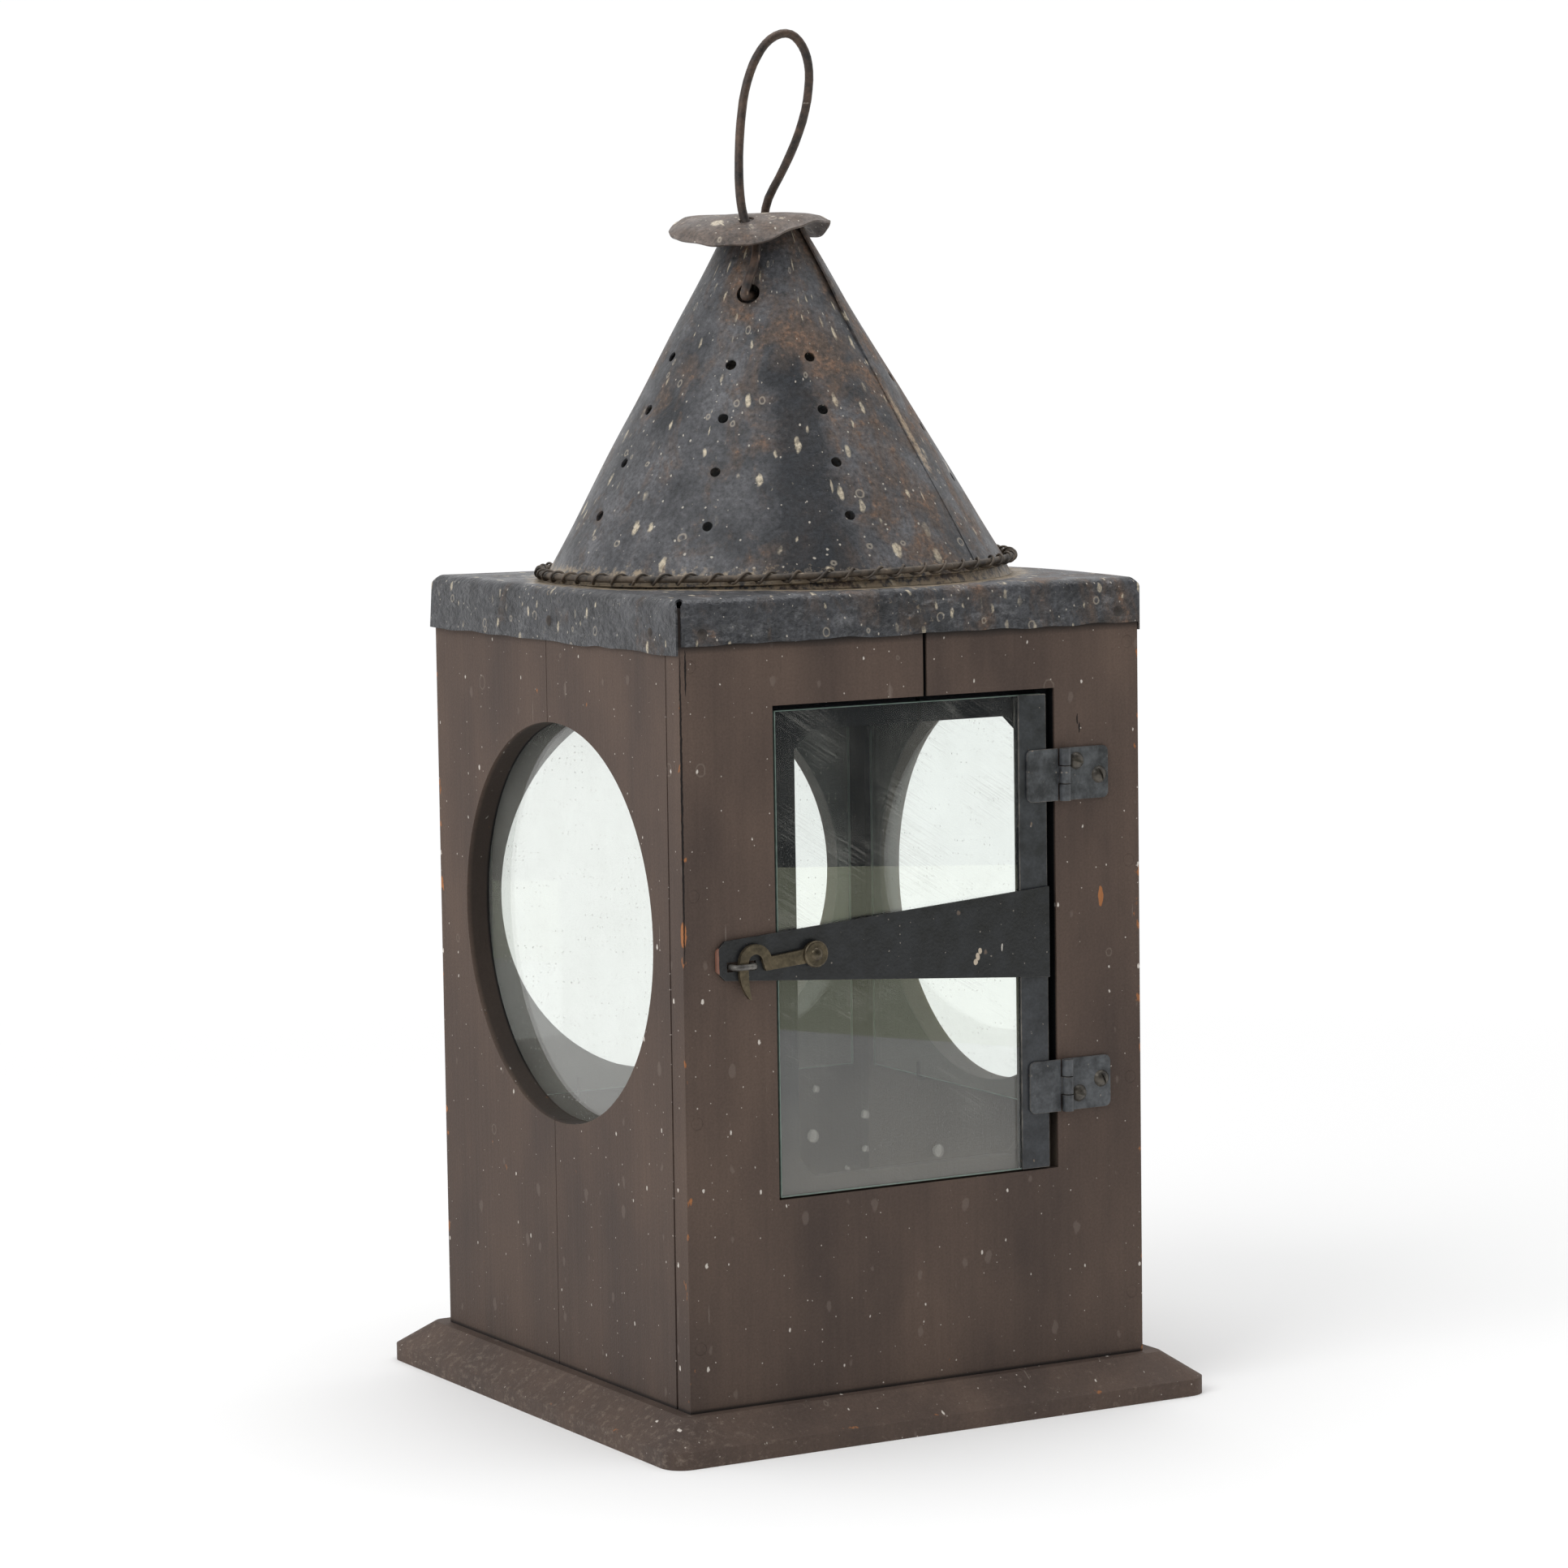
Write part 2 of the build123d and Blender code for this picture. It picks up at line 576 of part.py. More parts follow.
def cap_droop(side, near):
    """How far the smoke cap lies below its middle, at a place measured from its middle."""
    turn = math.degrees(math.atan2(near, side)) % 360 * len(CAP_RIM) / 360
    i = int(turn)
    t = turn - i
    a, b, c, d = (CAP_RIM[(i + step) % len(CAP_RIM)] for step in (-1, 0, 1, 2))
    rim = b + t * (c - a + t * (2 * a - 5 * b + 4 * c - d + t * (3 * (b - c) + d - a))) / 2
    out = math.hypot(side, near) / (SMOKE_CAP_DIA / 2)
    return rim * (math.hypot(out, CAP_CROWN) - CAP_CROWN) / (math.hypot(1, CAP_CROWN) - CAP_CROWN)


def smoke_cap_seat():
    """Height of the middle of the smoke cap's underside, resting on the top of the cone."""
    droops = []
    for degree in range(0, 360, 3):
        angle = math.radians(degree)
        side = CONE_TOP_DIA / 2 * math.cos(angle) + SMOKE_CAP_SHIFT
        droops.append(cap_droop(side, CONE_TOP_DIA / 2 * math.sin(angle)))
    return CONE_HEIGHT + SMOKE_CAP_REST + max(droops)


def leg_slot(end):
    """Slot for the near (0) or far (1) leg of the bail, as long as the leg needs at rest and lifted."""
    path = bail_path()
    way = [path @ abs(end - share) for share in evenly(0, 0.5, 200)]
    entry = next(point for point in way if point.Z > CONE_HEIGHT - BAIL_LIFT - BAIL_WIRE)
    leave = next(point for point in way if point.Z > smoke_cap_seat() + BAIL_WIRE)
    run = Vector(leave.X - entry.X, leave.Y - entry.Y, 0)
    slot = SlotCenterToCenter(run.length, BAIL_WIRE + 2 * BAIL_SLACK)
    middle = Pos((entry + leave) / 2) * Rot(0, 0, math.degrees(math.atan2(run.Y, run.X)))
    return middle * extrude(slot, SMOKE_CAP_DIA / 2, both=True)


def smoke_cap():
    """Bent disc over the open top of the cone, with slots for the legs of the bail."""
    reach = CAP_SHEET * SMOKE_CAP_DIA / 2
    steps = evenly(-reach, reach, 15)
    seat = smoke_cap_seat()
    grid = [
        [roof_place(s - SMOKE_CAP_SHIFT, n, seat - cap_droop(s, n)) for n in steps] for s in steps
    ]
    sheet = Solid.thicken(Face.make_surface_from_array_of_points(grid), TIN, normal_override=(0, 0, 1))
    middle = roof_place(-SMOKE_CAP_SHIFT, 0, seat)
    disc = Pos(middle) * Cylinder(SMOKE_CAP_DIA / 2, SMOKE_CAP_DIA) & sheet
    return ROOF * (disc - [leg_slot(0), leg_slot(1)])


def bail_end(side):
    """Hook of the bail through the near (+1) or far (-1) hole: upturned end, inner and outer corner."""
    tilt = math.radians(CONE_TILT)
    hole_drop = BAIL_HOLE / 2 * math.cos(tilt) - TIN / 2 * math.sin(tilt)
    z = BAIL_HOLE_HEIGHT - hole_drop + BAIL_WIRE / 2 + BAIL_REST
    outer = cone_radius(z) + BAIL_WIRE + CONE_WALL
    angle = math.radians(BAIL_ANGLE)
    way = Vector(math.cos(angle), math.sin(angle), 0) * side
    up = Vector(0, 0, 1)
    return [
        way * BAIL_HOOK_INNER + up * (z + BAIL_HOOK_RISE),
        way * BAIL_HOOK_INNER + up * z,
        way * outer + up * z,
    ]


def bail_points():
    """Corners of the bail from its near hook over the loop to its far hook."""
    corners = []
    for side, rise in NEAR_LEG:
        corners.append((side, leg_distance(rise), rise))
    corners += BAIL_LOOP
    for side, rise in FAR_LEG:
        corners.append((side, -leg_distance(rise), rise))
    loop = [roof_place(side, near, CONE_HEIGHT + rise) for side, near, rise in corners]
    return bail_end(1) + loop + bail_end(-1)[::-1]


def leg_distance(rise):
    """How far a leg of the bail stands from the axis of the cone, at a rise above its top."""
    return cone_radius(CONE_HEIGHT + min(rise, 0)) + BAIL_STANDOFF


def bail_path():
    """Centre line of the bail, over the foot of the cone."""
    points = bail_points()
    radii = []
    for i in range(1, len(points) - 1):
        before = points[i] - points[i - 1]
        after = points[i + 1] - points[i]
        half_turn = math.radians(before.get_angle(after)) / 2
        radii.append(BAIL_BEND * min(before.length, after.length) / math.tan(half_turn))
    for corner in (0, 1, -2, -1):
        radii[corner] = BAIL_HOOK_BEND
    return FilletPolyline(*points, radius=radii)


def bail_wire():
    """Hand bent wire loop, hooked through the cone and passed through the smoke cap."""
    return ROOF * round_bar(bail_path(), BAIL_WIRE)


# Door


def door_glass():
    """Plain pane, held at its hinge edge."""
    right = DOOR_RIGHT - TIN - CHANNEL_SLACK
    return block((DOOR_LEFT, right), (GLASS_FRONT, GLASS_FRONT + DOOR_GLASS), (DOOR_FOOT, DOOR_HEAD))


def door_channel():
    """Folded tin strap over the hinge edge of the glass."""
    depth = DOOR_GLASS + 2 * (TIN + CHANNEL_SLACK)
    left = DOOR_RIGHT - CHANNEL_FACE
    outer = block((left, DOOR_RIGHT), (CHANNEL_FRONT, CHANNEL_FRONT + depth), (DOOR_FOOT, DOOR_HEAD))
    groove = block(
        (left - TIN, DOOR_RIGHT - TIN),
        (CHANNEL_FRONT + TIN, CHANNEL_FRONT + depth - TIN),
        (DOOR_FOOT - TIN, DOOR_HEAD + TIN),
    )
    return outer - groove


def staple_slot():
    """Slot of the arm that lets the staple through."""
    wide = STAPLE_INNER_X - STAPLE_OUTER_X + STAPLE_WIRE + 2 * SLOT_GAP
    middle = HOOK_X + (STAPLE_INNER_X + STAPLE_OUTER_X) / 2
    return Pos(middle, ARM_Z + STAPLE_Z) * Rectangle(wide, STAPLE_WIRE + 2 * SLOT_GAP)


def door_arm():
    """Tapered strap soldered to the channel, which reaches over the wall to the staple."""
    tip = OPENING_LEFT - ARM_TIP_OVERLAP
    half_tip = ARM_TIP_HEIGHT / 2
    half_end = ARM_END_HEIGHT / 2
    outline = Polygon(
        (tip, ARM_Z + half_tip - ARM_CLIP),
        (tip + ARM_CLIP, ARM_Z + half_tip),
        (DOOR_RIGHT, ARM_Z + half_end),
        (DOOR_RIGHT, ARM_Z - half_end),
        (tip + ARM_CLIP, ARM_Z - half_tip),
        (tip, ARM_Z - half_tip + ARM_CLIP),
        align=None,
    )
    pivot = Pos(HOOK_X, ARM_Z) * Circle(RIVET_DIA / 2)
    return front_plate(outline - staple_slot() - pivot, CHANNEL_FRONT, ARM_FRONT)


def hinge_knuckles(owner):
    """Height limits of the knuckles of one leaf, from the middle of the hinge."""
    third = HINGE_HEIGHT / 6
    if owner == "door":
        return [(-third, third)]
    end = HINGE_HEIGHT / 2
    return [(-end, -third - KNUCKLE_GAP), (third + KNUCKLE_GAP, end)]


def hinge_leaf(owner, hinge):
    """A flat leaf with its knuckles: the door leaf lies on the channel, the wall leaf on the wall."""
    z = HINGE_HEIGHTS[hinge]
    on_door = owner == "door"
    back = CHANNEL_FRONT if on_door else FRONT
    length = DOOR_LEAF if on_door else WALL_LEAF
    hand = -1 if on_door else 1
    half = HINGE_HEIGHT / 2
    near = KNUCKLE_DIA / 2 + KNUCKLE_GAP
    middle = (near + length) / 2
    plate = Pos(HINGE_X + hand * middle, z) * RectangleRounded(length - near, HINGE_HEIGHT, LEAF_CORNER)
    square_end = Pos(HINGE_X + hand * (near + LEAF_CORNER), z) * Rectangle(2 * LEAF_CORNER, 2 * half)
    leaf = front_plate(plate + square_end, back, back - HINGE_TIN)
    bore = PIN_DIA / 2 + (PIN_FIT if on_door else 0)
    for low, high in hinge_knuckles(owner):
        barrel = Pos(HINGE_X, HINGE_Y, z + low) * Cylinder(KNUCKLE_DIA / 2, high - low, align=FOOT)
        reach = sorted((HINGE_X, HINGE_X + hand * (near + LEAF_CORNER)))
        tongue = block(reach, (back - HINGE_TIN, back), (z + low, z + high))
        leaf = leaf + barrel + tongue
    leaf -= Pos(HINGE_X, HINGE_Y, z) * Cylinder(bore, 2 * HINGE_HEIGHT)
    return leaf if on_door else leaf - hinge_screws()


def hinge_pin(hinge):
    """Plain pin, tight in the wall leaf and free in the door leaf."""
    return Pos(HINGE_X, HINGE_Y, HINGE_HEIGHTS[hinge]) * Cylinder(PIN_DIA / 2, HINGE_HEIGHT)


def hinge_screws():
    """Two slotted round head screws in each wall leaf."""
    screws = []
    for hinge, z in HINGE_HEIGHTS.items():
        places = zip((SCREW_NEAR, SCREW_FAR), SCREW_RISES[hinge], SCREW_SLOT_TURNS)
        for x, rise, turn in places:
            slot = Box(2 * SCREW_HEAD, SCREW_SLOT, SCREW_HEAD_RISE)
            slot = Rot(0, 0, turn) * Pos(0, 0, -SCREW_HEAD_RISE) * slot
            shank = Cylinder(SCREW_DIA / 2, HINGE_TIN + SCREW_LENGTH, align=FOOT)
            screw = dome(SCREW_HEAD, SCREW_HEAD_RISE) - slot + shank
            screws.append(Pos(HINGE_X + x, FRONT - HINGE_TIN, z + rise) * INTO_WALL * screw)
    return screws


# Latch


def hook_outline():
    """The flat hook seen from the front, with its pivot at the origin."""
    inner_left = CROOK_X - CROOK_INNER
    inner_right = CROOK_X + CROOK_INNER
    outer_left = CROOK_X - CROOK_OUTER
    outer_right = CROOK_X + CROOK_OUTER
    arm = Polygon(
        (-HOOK_NECK, HOOK_EYE / 4),
        (outer_right, CROOK_Z + HOOK_SHOULDER),
        (inner_right, CROOK_Z),
        (inner_right + HOOK_HEEL[0], CROOK_Z + HOOK_HEEL[1]),
        (-HOOK_NECK, -HOOK_EYE / 3),
        align=None,
    )
    crook = Pos(CROOK_X, CROOK_Z) * (Circle(CROOK_OUTER) - Circle(CROOK_INNER))
    upper_half = Pos(CROOK_X, CROOK_Z) * Rectangle(
        4 * CROOK_OUTER, 2 * CROOK_OUTER, align=(Align.CENTER, Align.MIN)
    )
    outer_start = (outer_left, CROOK_Z)
    outer_bow = (outer_left + SHANK_BOW[0], -SHANK_REACH * SHANK_WIDEST)
    outer_tip = (inner_left + SHANK_TIP[0], -SHANK_REACH)
    inner_tip = (inner_left + SHANK_TIP[1], -SHANK_REACH)
    inner_bow = (inner_left + SHANK_BOW[1], -SHANK_REACH * SHANK_WIDEST)
    inner_start = (inner_left, CROOK_Z)
    shank = make_face(
        [
            ThreePointArc(outer_start, outer_bow, outer_tip),
            Line(outer_tip, inner_tip),
            ThreePointArc(inner_tip, inner_bow, inner_start),
            Line(inner_start, outer_start),
        ]
    )
    return Circle(HOOK_EYE / 2) + arm + (crook & upper_half) + shank - Circle(RIVET_DIA / 2 + RIVET_FIT)


def latch_hook():
    """Flat brass hook that turns on its rivet."""
    return front_plate(Pos(HOOK_X, ARM_Z) * hook_outline(), HOOK_BACK, HOOK_FRONT)


def hook_washer():
    """Round washer over the eye of the hook."""
    ring = Circle(WASHER_DIA / 2) - Circle(RIVET_DIA / 2)
    washer = front_plate(Pos(HOOK_X, ARM_Z) * ring, WASHER_BACK, WASHER_BACK - WASHER_THICK)
    rim = washer.edges().filter_by(GeomType.CIRCLE).group_by(Axis.Y)[0].sort_by(SortBy.RADIUS)[-1]
    return chamfer(rim, WASHER_THICK / 2)


def hook_rivet():
    """Rivet through the arm, hook and washer, headed at both ends."""
    front = WASHER_BACK - WASHER_THICK
    length = CHANNEL_FRONT - front
    head = dome(RIVET_HEAD, RIVET_HEAD_RISE)
    shank = Cylinder(RIVET_DIA / 2, length, align=FOOT)
    tail = Pos(0, 0, length) * Cylinder(RIVET_HEAD / 2, RIVET_BACK, align=FOOT)
    return Pos(HOOK_X, front, ARM_Z) * INTO_WALL * (head + shank + tail)


def latch_staple():
    """Wire staple driven into the wall, which stands out through the slot of the arm."""
    left = HOOK_X + STAPLE_OUTER_X
    right = HOOK_X + STAPLE_INNER_X
    z = ARM_Z + STAPLE_Z
    path = FilletPolyline(
        (left, FRONT + STAPLE_DEPTH, z),
        (left, STAPLE_BAR_Y, z),
        (right, STAPLE_BAR_Y, z),
        (right, FRONT + STAPLE_DEPTH, z),
        radius=STAPLE_BEND,
    )
    return round_bar(path, STAPLE_WIRE)


# Candle holder


def drip_pan():
    """Shallow tin pan on the floor of the case."""
    outer = Cone(PAN_FLOOR / 2, PAN_DIA / 2, PAN_DEPTH, align=FOOT)
    hollow = Pos(0, 0, TIN) * Cone(PAN_FLOOR / 2 - TIN, PAN_DIA / 2 - TIN, PAN_DEPTH - TIN, align=FOOT)
    return Pos(0, 0, BASE_HEIGHT) * (outer - hollow) - pan_tacks()


def candle_socket():
    """Tin tube for the candle, soldered to the pan."""
    tube = Cylinder(SOCKET_BORE / 2 + TIN, SOCKET_HEIGHT, align=FOOT) - Cylinder(
        SOCKET_BORE / 2, SOCKET_HEIGHT, align=FOOT
    )
    return Pos(0, 0, BASE_HEIGHT + TIN) * tube


def pan_tacks():
    """Tacks through the pan into the base board."""
    shape = Pos(PAN_TACK_RADIUS, 0, BASE_HEIGHT + TIN) * Rot(180, 0, 0) * tack(TIN + TACK_LENGTH)
    return [Rot(0, 0, 360 * i / PAN_TACKS) * shape for i in range(PAN_TACKS)]


def lantern():
    """Every piece of the lantern by its name, as a shape or a list of like shapes."""
    fastenings = case_nails() + base_nails() + pane_brads() + cap_tacks()
    fastenings += hinge_screws() + [latch_staple()]
    pieces = {"base_board": base_board() - base_nail_holes() - pan_tacks()}
    board_names = {
        "front": ("front_left_board", "front_right_board"),
        "right": ("right_front_board", "right_rear_board"),
        "back": ("back_right_board", "back_left_board"),
        "left": ("left_rear_board", "left_front_board"),
    }
    for wall, names in board_names.items():
        pieces.update(zip(names, wall_boards(wall, fastenings)))
    for wall in ("left", "right", "back"):
        pieces[f"{wall}_pane"] = window_pane(wall)
    pieces["pane_brads"] = pane_brads()
    pieces["case_nails"] = case_nails()
    pieces["base_nails"] = base_nails()
    pieces["tin_cap"] = tin_cap()
    pieces["cap_tacks"] = cap_tacks()
    pieces["roof_collar"] = roof_collar()
    pieces["roof_cone"] = roof_cone()
    pieces["rim_wire"] = rim_wire()
    pieces["lacing_wire"] = lacing_wire()
    pieces["smoke_cap"] = smoke_cap()
    pieces["bail_wire"] = bail_wire()
    pieces["door_glass"] = door_glass()
    pieces["door_channel"] = door_channel()
    pieces["door_arm"] = door_arm()
    for hinge in HINGE_HEIGHTS:
        pieces[f"{hinge}_hinge_door_leaf"] = hinge_leaf("door", hinge)
        pieces[f"{hinge}_hinge_wall_leaf"] = hinge_leaf("wall", hinge)
        pieces[f"{hinge}_hinge_pin"] = hinge_pin(hinge)
    pieces["hinge_screws"] = hinge_screws()
    pieces["latch_hook"] = latch_hook()
    pieces["hook_washer"] = hook_washer()
    pieces["hook_rivet"] = hook_rivet()
    pieces["latch_staple"] = latch_staple()
    pieces["drip_pan"] = drip_pan()
    pieces["candle_socket"] = candle_socket()
    pieces["pan_tacks"] = pan_tacks()
    return pieces


os.makedirs("parts", exist_ok=True)
for name, piece in lantern().items():
    shape = Compound(children=piece) if isinstance(piece, list) else piece
    export_step(shape, f"parts/{name}.step")
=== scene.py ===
"""The look of the painted candle lantern with a punched tin roof, in metres, +Z up, door towards -Y."""
import math
import random

import bpy
from mathutils import Matrix, Vector, noise


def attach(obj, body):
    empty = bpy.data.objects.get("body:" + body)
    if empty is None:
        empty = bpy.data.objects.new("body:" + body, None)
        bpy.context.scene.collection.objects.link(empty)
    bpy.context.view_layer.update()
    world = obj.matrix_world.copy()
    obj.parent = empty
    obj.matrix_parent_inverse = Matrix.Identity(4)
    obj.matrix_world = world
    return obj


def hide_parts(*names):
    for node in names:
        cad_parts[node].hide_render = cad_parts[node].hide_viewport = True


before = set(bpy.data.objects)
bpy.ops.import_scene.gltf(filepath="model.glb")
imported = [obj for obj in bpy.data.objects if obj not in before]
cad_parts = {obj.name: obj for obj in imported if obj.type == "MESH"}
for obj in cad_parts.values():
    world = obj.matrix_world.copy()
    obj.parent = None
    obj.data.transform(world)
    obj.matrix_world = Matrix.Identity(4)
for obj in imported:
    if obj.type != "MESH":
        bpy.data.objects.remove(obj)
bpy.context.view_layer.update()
bpy.ops.object.select_all(action="DESELECT")
random.seed(7)

MM = 0.001

# Sizes of the case and the door, and how far wear has moved their faces
CASE_HALF = 100 * MM
WALL_TOP = 316 * MM
TOP_TRIM = 2.6 * MM
BASE_RIGHT = 2.5 * MM
BASE_BACK = 3.5 * MM
NAIL_PROUD = 0.12 * MM
HINGE_TRIM = 1.6 * MM
PANE_GAP = 0.1 * MM
SAME_PLACE = 0.02 * MM

# Sizes of the roof
TIN = 0.8 * MM
CAP_HALF = 101 * MM
CAP_TOP = 316.8 * MM
CAP_FOLD = 3.6 * MM
CAP_DROP = 20.5 * MM
PLATE_HOLE = 86 * MM
FRONT_TRIM = 3.2 * MM
FOOT_RADIUS = 90 * MM
TOP_RADIUS = 14.6 * MM
CONE_HEIGHT = 132 * MM
SLOPE = (FOOT_RADIUS - TOP_RADIUS) / CONE_HEIGHT
CONE_TOP = 135 * MM
CONE_TILT = math.atan(SLOPE)
SEAM_ANGLE = math.radians(-61)
SEAM_LAP = 10 * MM
VENT_RADIUS = 2 * MM
VENT_ROWS = 4
VENT_STEP = 19.7 * MM
VENT_FOOT = 20.5 * MM
VENT_COLUMNS = (
    (-38.0, 13.5),
    (5.3, 5.0),
    (48.6, 5.0),
    (91.9, 5.0),
    (135.2, 5.0),
    (178.5, 4.8),
    (221.4, 1.2),
    (262.3, 3.3),
)
RIM_WIRE = 2.6 * MM
LACE_WIRE = 1.0 * MM
RIM_OFFSET = RIM_WIRE / 2 + LACE_WIRE + 0.4 * MM
LACE_RING = RIM_WIRE / 2 + LACE_WIRE / 2 + 0.2 * MM
LACE_TURNS = 56
LACE_GAP = math.radians(4)
RIM_RADIUS = FOOT_RADIUS - SLOPE * RIM_OFFSET + RIM_OFFSET / math.cos(CONE_TILT)
LEAN = math.radians(1.3)
LEAN_AXIS = Vector((-math.sin(math.radians(150)), math.cos(math.radians(150)), 0))
ROOF_FOOT = CAP_TOP + (RIM_RADIUS + RIM_OFFSET) * math.sin(LEAN)
ROOF = Matrix.Translation((-0.00104, 0.0006, ROOF_FOOT)) @ Matrix.Rotation(LEAN, 4, LEAN_AXIS)

# Smoke cap and bail
CAP_RADIUS = 31 * MM
CAP_SHIFT = 5.2 * MM
CAP_RIM = (3.2, 2.2, 5.6, 10.6, 9.8, 7.6, 4.0, 0.6, 2.0, 5.5, 7.8, 7.7)
BAIL_WIRE = 3.4 * MM
BAIL_HOLE = 8.4 * MM
BAIL_ANGLE = math.radians(-133.5)
BAIL_HOLE_HEIGHT = 107.7 * MM
BAIL_CORNERS = (
    (-1.1, 21.2, -6.8),
    (-7.0, 17.4, 2.5),
    (-8.5, 16.5, 12),
    (-8.3, 14, 28),
    (-6.6, 10, 46),
    (-2.8, 7, 61),
    (4.2, 3.5, 72.2),
    (12.8, -0.5, 75.4),
    (18.8, -4, 68.6),
    (20.4, -7, 58),
    (17.6, -10, 41.5),
    (9.4, -14, 23.5),
    (-0.6, -17.4, 7.3),
    (2.4, -21.2, -6.8),
)


def waver(x, y=0.0, z=0.0):
    """A smooth uneven value between -1 and 1."""
    return noise.noise(Vector((x, y, z)))


def ease(value):
    """A smooth step from 0 to 1."""
    value = min(max(value, 0.0), 1.0)
    return value * value * (3 - 2 * value)


# Modelling steps
def only(piece):
    """Selects one piece and makes it active."""
    bpy.ops.object.select_all(action="DESELECT")
    piece.select_set(True)
    bpy.context.view_layer.objects.active = piece


def linked(name, data):
    """A new object of the scene."""
    piece = bpy.data.objects.new(name, data)
    bpy.context.scene.collection.objects.link(piece)
    return piece


def started(name):
    """Names the primitive that was just added and puts its place into its mesh."""
    piece = bpy.context.active_object
    piece.name = name
    piece.data.name = name
    bpy.ops.object.transform_apply(location=True, rotation=True, scale=True)
    return piece


def modified(piece, kind, **settings):
    """Adds one modifier to a piece and applies it."""
    only(piece)
    step = piece.modifiers.new(kind.title(), kind)
    for setting, value in settings.items():
        setattr(step, setting, value)
    bpy.ops.object.modifier_apply(modifier=step.name)


def cut(piece, cutters):
    """Cuts some shapes out of a piece and removes them."""
    only(cutters[0])
    for cutter in cutters:
        cutter.select_set(True)
    if len(cutters) > 1:
        bpy.ops.object.join()
    tool = bpy.context.active_object
    modified(piece, "BOOLEAN", operation="DIFFERENCE", solver="EXACT", object=tool)
    bpy.data.objects.remove(tool, do_unlink=True)


def eased(piece, width, segments=2, degrees=35, worn=False):
    """Rounds the sharp edges of a piece a little, and gives them its second material if they are worn."""
    piece.data.materials.clear()
    piece.data.materials.append(None)
    piece.data.materials.append(None)
    limit = {"limit_method": "ANGLE", "angle_limit": math.radians(degrees)}
    modified(piece, "BEVEL", width=width, segments=segments, material=1 if worn else -1, **limit)


def placed(piece, matrix):
    """Moves a piece and puts its place into its mesh."""
    piece.matrix_world = matrix
    only(piece)
    bpy.ops.object.transform_apply(location=True, rotation=True, scale=True)


def cleaned(piece, dissolve=None):
    """Merges doubled points, dissolves flat edges if asked, and turns the faces outwards."""
    only(piece)
    bpy.ops.object.mode_set(mode="EDIT")
    bpy.ops.mesh.select_all(action="SELECT")
    bpy.ops.mesh.remove_doubles(threshold=0.000002)
    if dissolve:
        bpy.ops.mesh.dissolve_limited(angle_limit=math.radians(dissolve))
    bpy.ops.mesh.normals_make_consistent(inside=False)
    bpy.ops.object.mode_set(mode="OBJECT")


def smoothed(piece, degrees=35, flat=False):
    """Shades a piece smooth but for its sharp edges, and keeps its large faces flat if asked."""
    only(piece)
    bpy.ops.object.shade_smooth_by_angle(angle=math.radians(degrees))
    if flat:
        modified(piece, "WEIGHTED_NORMAL", keep_sharp=True)


def fitted(piece, body, slot, nodes, *finishes):
    """Gives a finished piece its materials, its body and the nodes that it stands for; the slot is not used.
    """
    kept = [face.material_index for face in piece.data.polygons]
    piece.data.materials.clear()
    for finish in finishes:
        piece.data.materials.append(finish)
    piece.data.polygons.foreach_set("material_index", kept)
    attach(piece, body)
    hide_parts(*nodes)


def copied(node):
    """A new piece with the mesh of a built node, its doubled points merged and its flat faces made whole."""
    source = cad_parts[node]
    piece = linked("worn_" + node, source.data.copy())
    placed(piece, source.matrix_world)
    cleaned(piece, dissolve=0.6)
    return piece


def moved(piece, axis, place, step, low=-1.0, high=1.0):
    """Moves the points that lie at one place along an axis, between two heights."""
    for point in piece.data.vertices:
        if abs(point.co[axis] - place) < SAME_PLACE and low < point.co.z < high:
            point.co[axis] += step


def tube(name, points, width, closed_loop=False, order=4, sides=3):
    """A round wire along points, made as a curve and turned into a mesh."""
    line = bpy.data.curves.new(name, "CURVE")
    line.dimensions = "3D"
    line.bevel_depth = width / 2
    line.bevel_resolution = sides
    line.use_fill_caps = not closed_loop
    run = line.splines.new("NURBS")
    run.points.add(len(points) - 1)
    for knot, point in zip(run.points, points):
        knot.co = (*point, 1)
    run.order_u = order
    run.use_cyclic_u = closed_loop
    run.use_endpoint_u = not closed_loop
    run.resolution_u = 4
    only(linked(name, line))
    bpy.ops.object.convert(target="MESH")
    piece = bpy.context.active_object
    cleaned(piece)
    return piece


# Shader nodes and colours
def add(tree, kind, inputs=None, output=0, **settings):
    """Adds one shader node with its settings and links, and gives back one of its outputs."""
    made = tree.nodes.new("ShaderNode" + kind)
    for setting, value in settings.items():
        setattr(made, setting, value)
    for socket, value in (inputs or {}).items():
        if isinstance(value, bpy.types.NodeSocket):
            tree.links.new(value, made.inputs[socket])
        else:
            made.inputs[socket].default_value = value
    return made.outputs[output] if made.outputs else made


def linear(code):
    """The linear colour of an sRGB hex value."""
    parts = [int(code[place : place + 2], 16) / 255 for place in (1, 3, 5)]
    return (*[part / 12.92 if part <= 0.04045 else ((part + 0.055) / 1.055) ** 2.4 for part in parts], 1.0)


def per(size):
    """The texture scale of a pattern whose marks are this many millimetres apart."""
    return 1000 / size


def begun(name):
    """A new material, its empty tree and the place on the piece."""
    made = bpy.data.materials.new(name)
    made.use_nodes = True
    made.node_tree.nodes.clear()
    return made, made.node_tree, add(made.node_tree, "TexCoord", output=3)


def closed(tree, shader):
    """Ends a material with its surface."""
    add(tree, "OutputMaterial", {"Surface": shader})


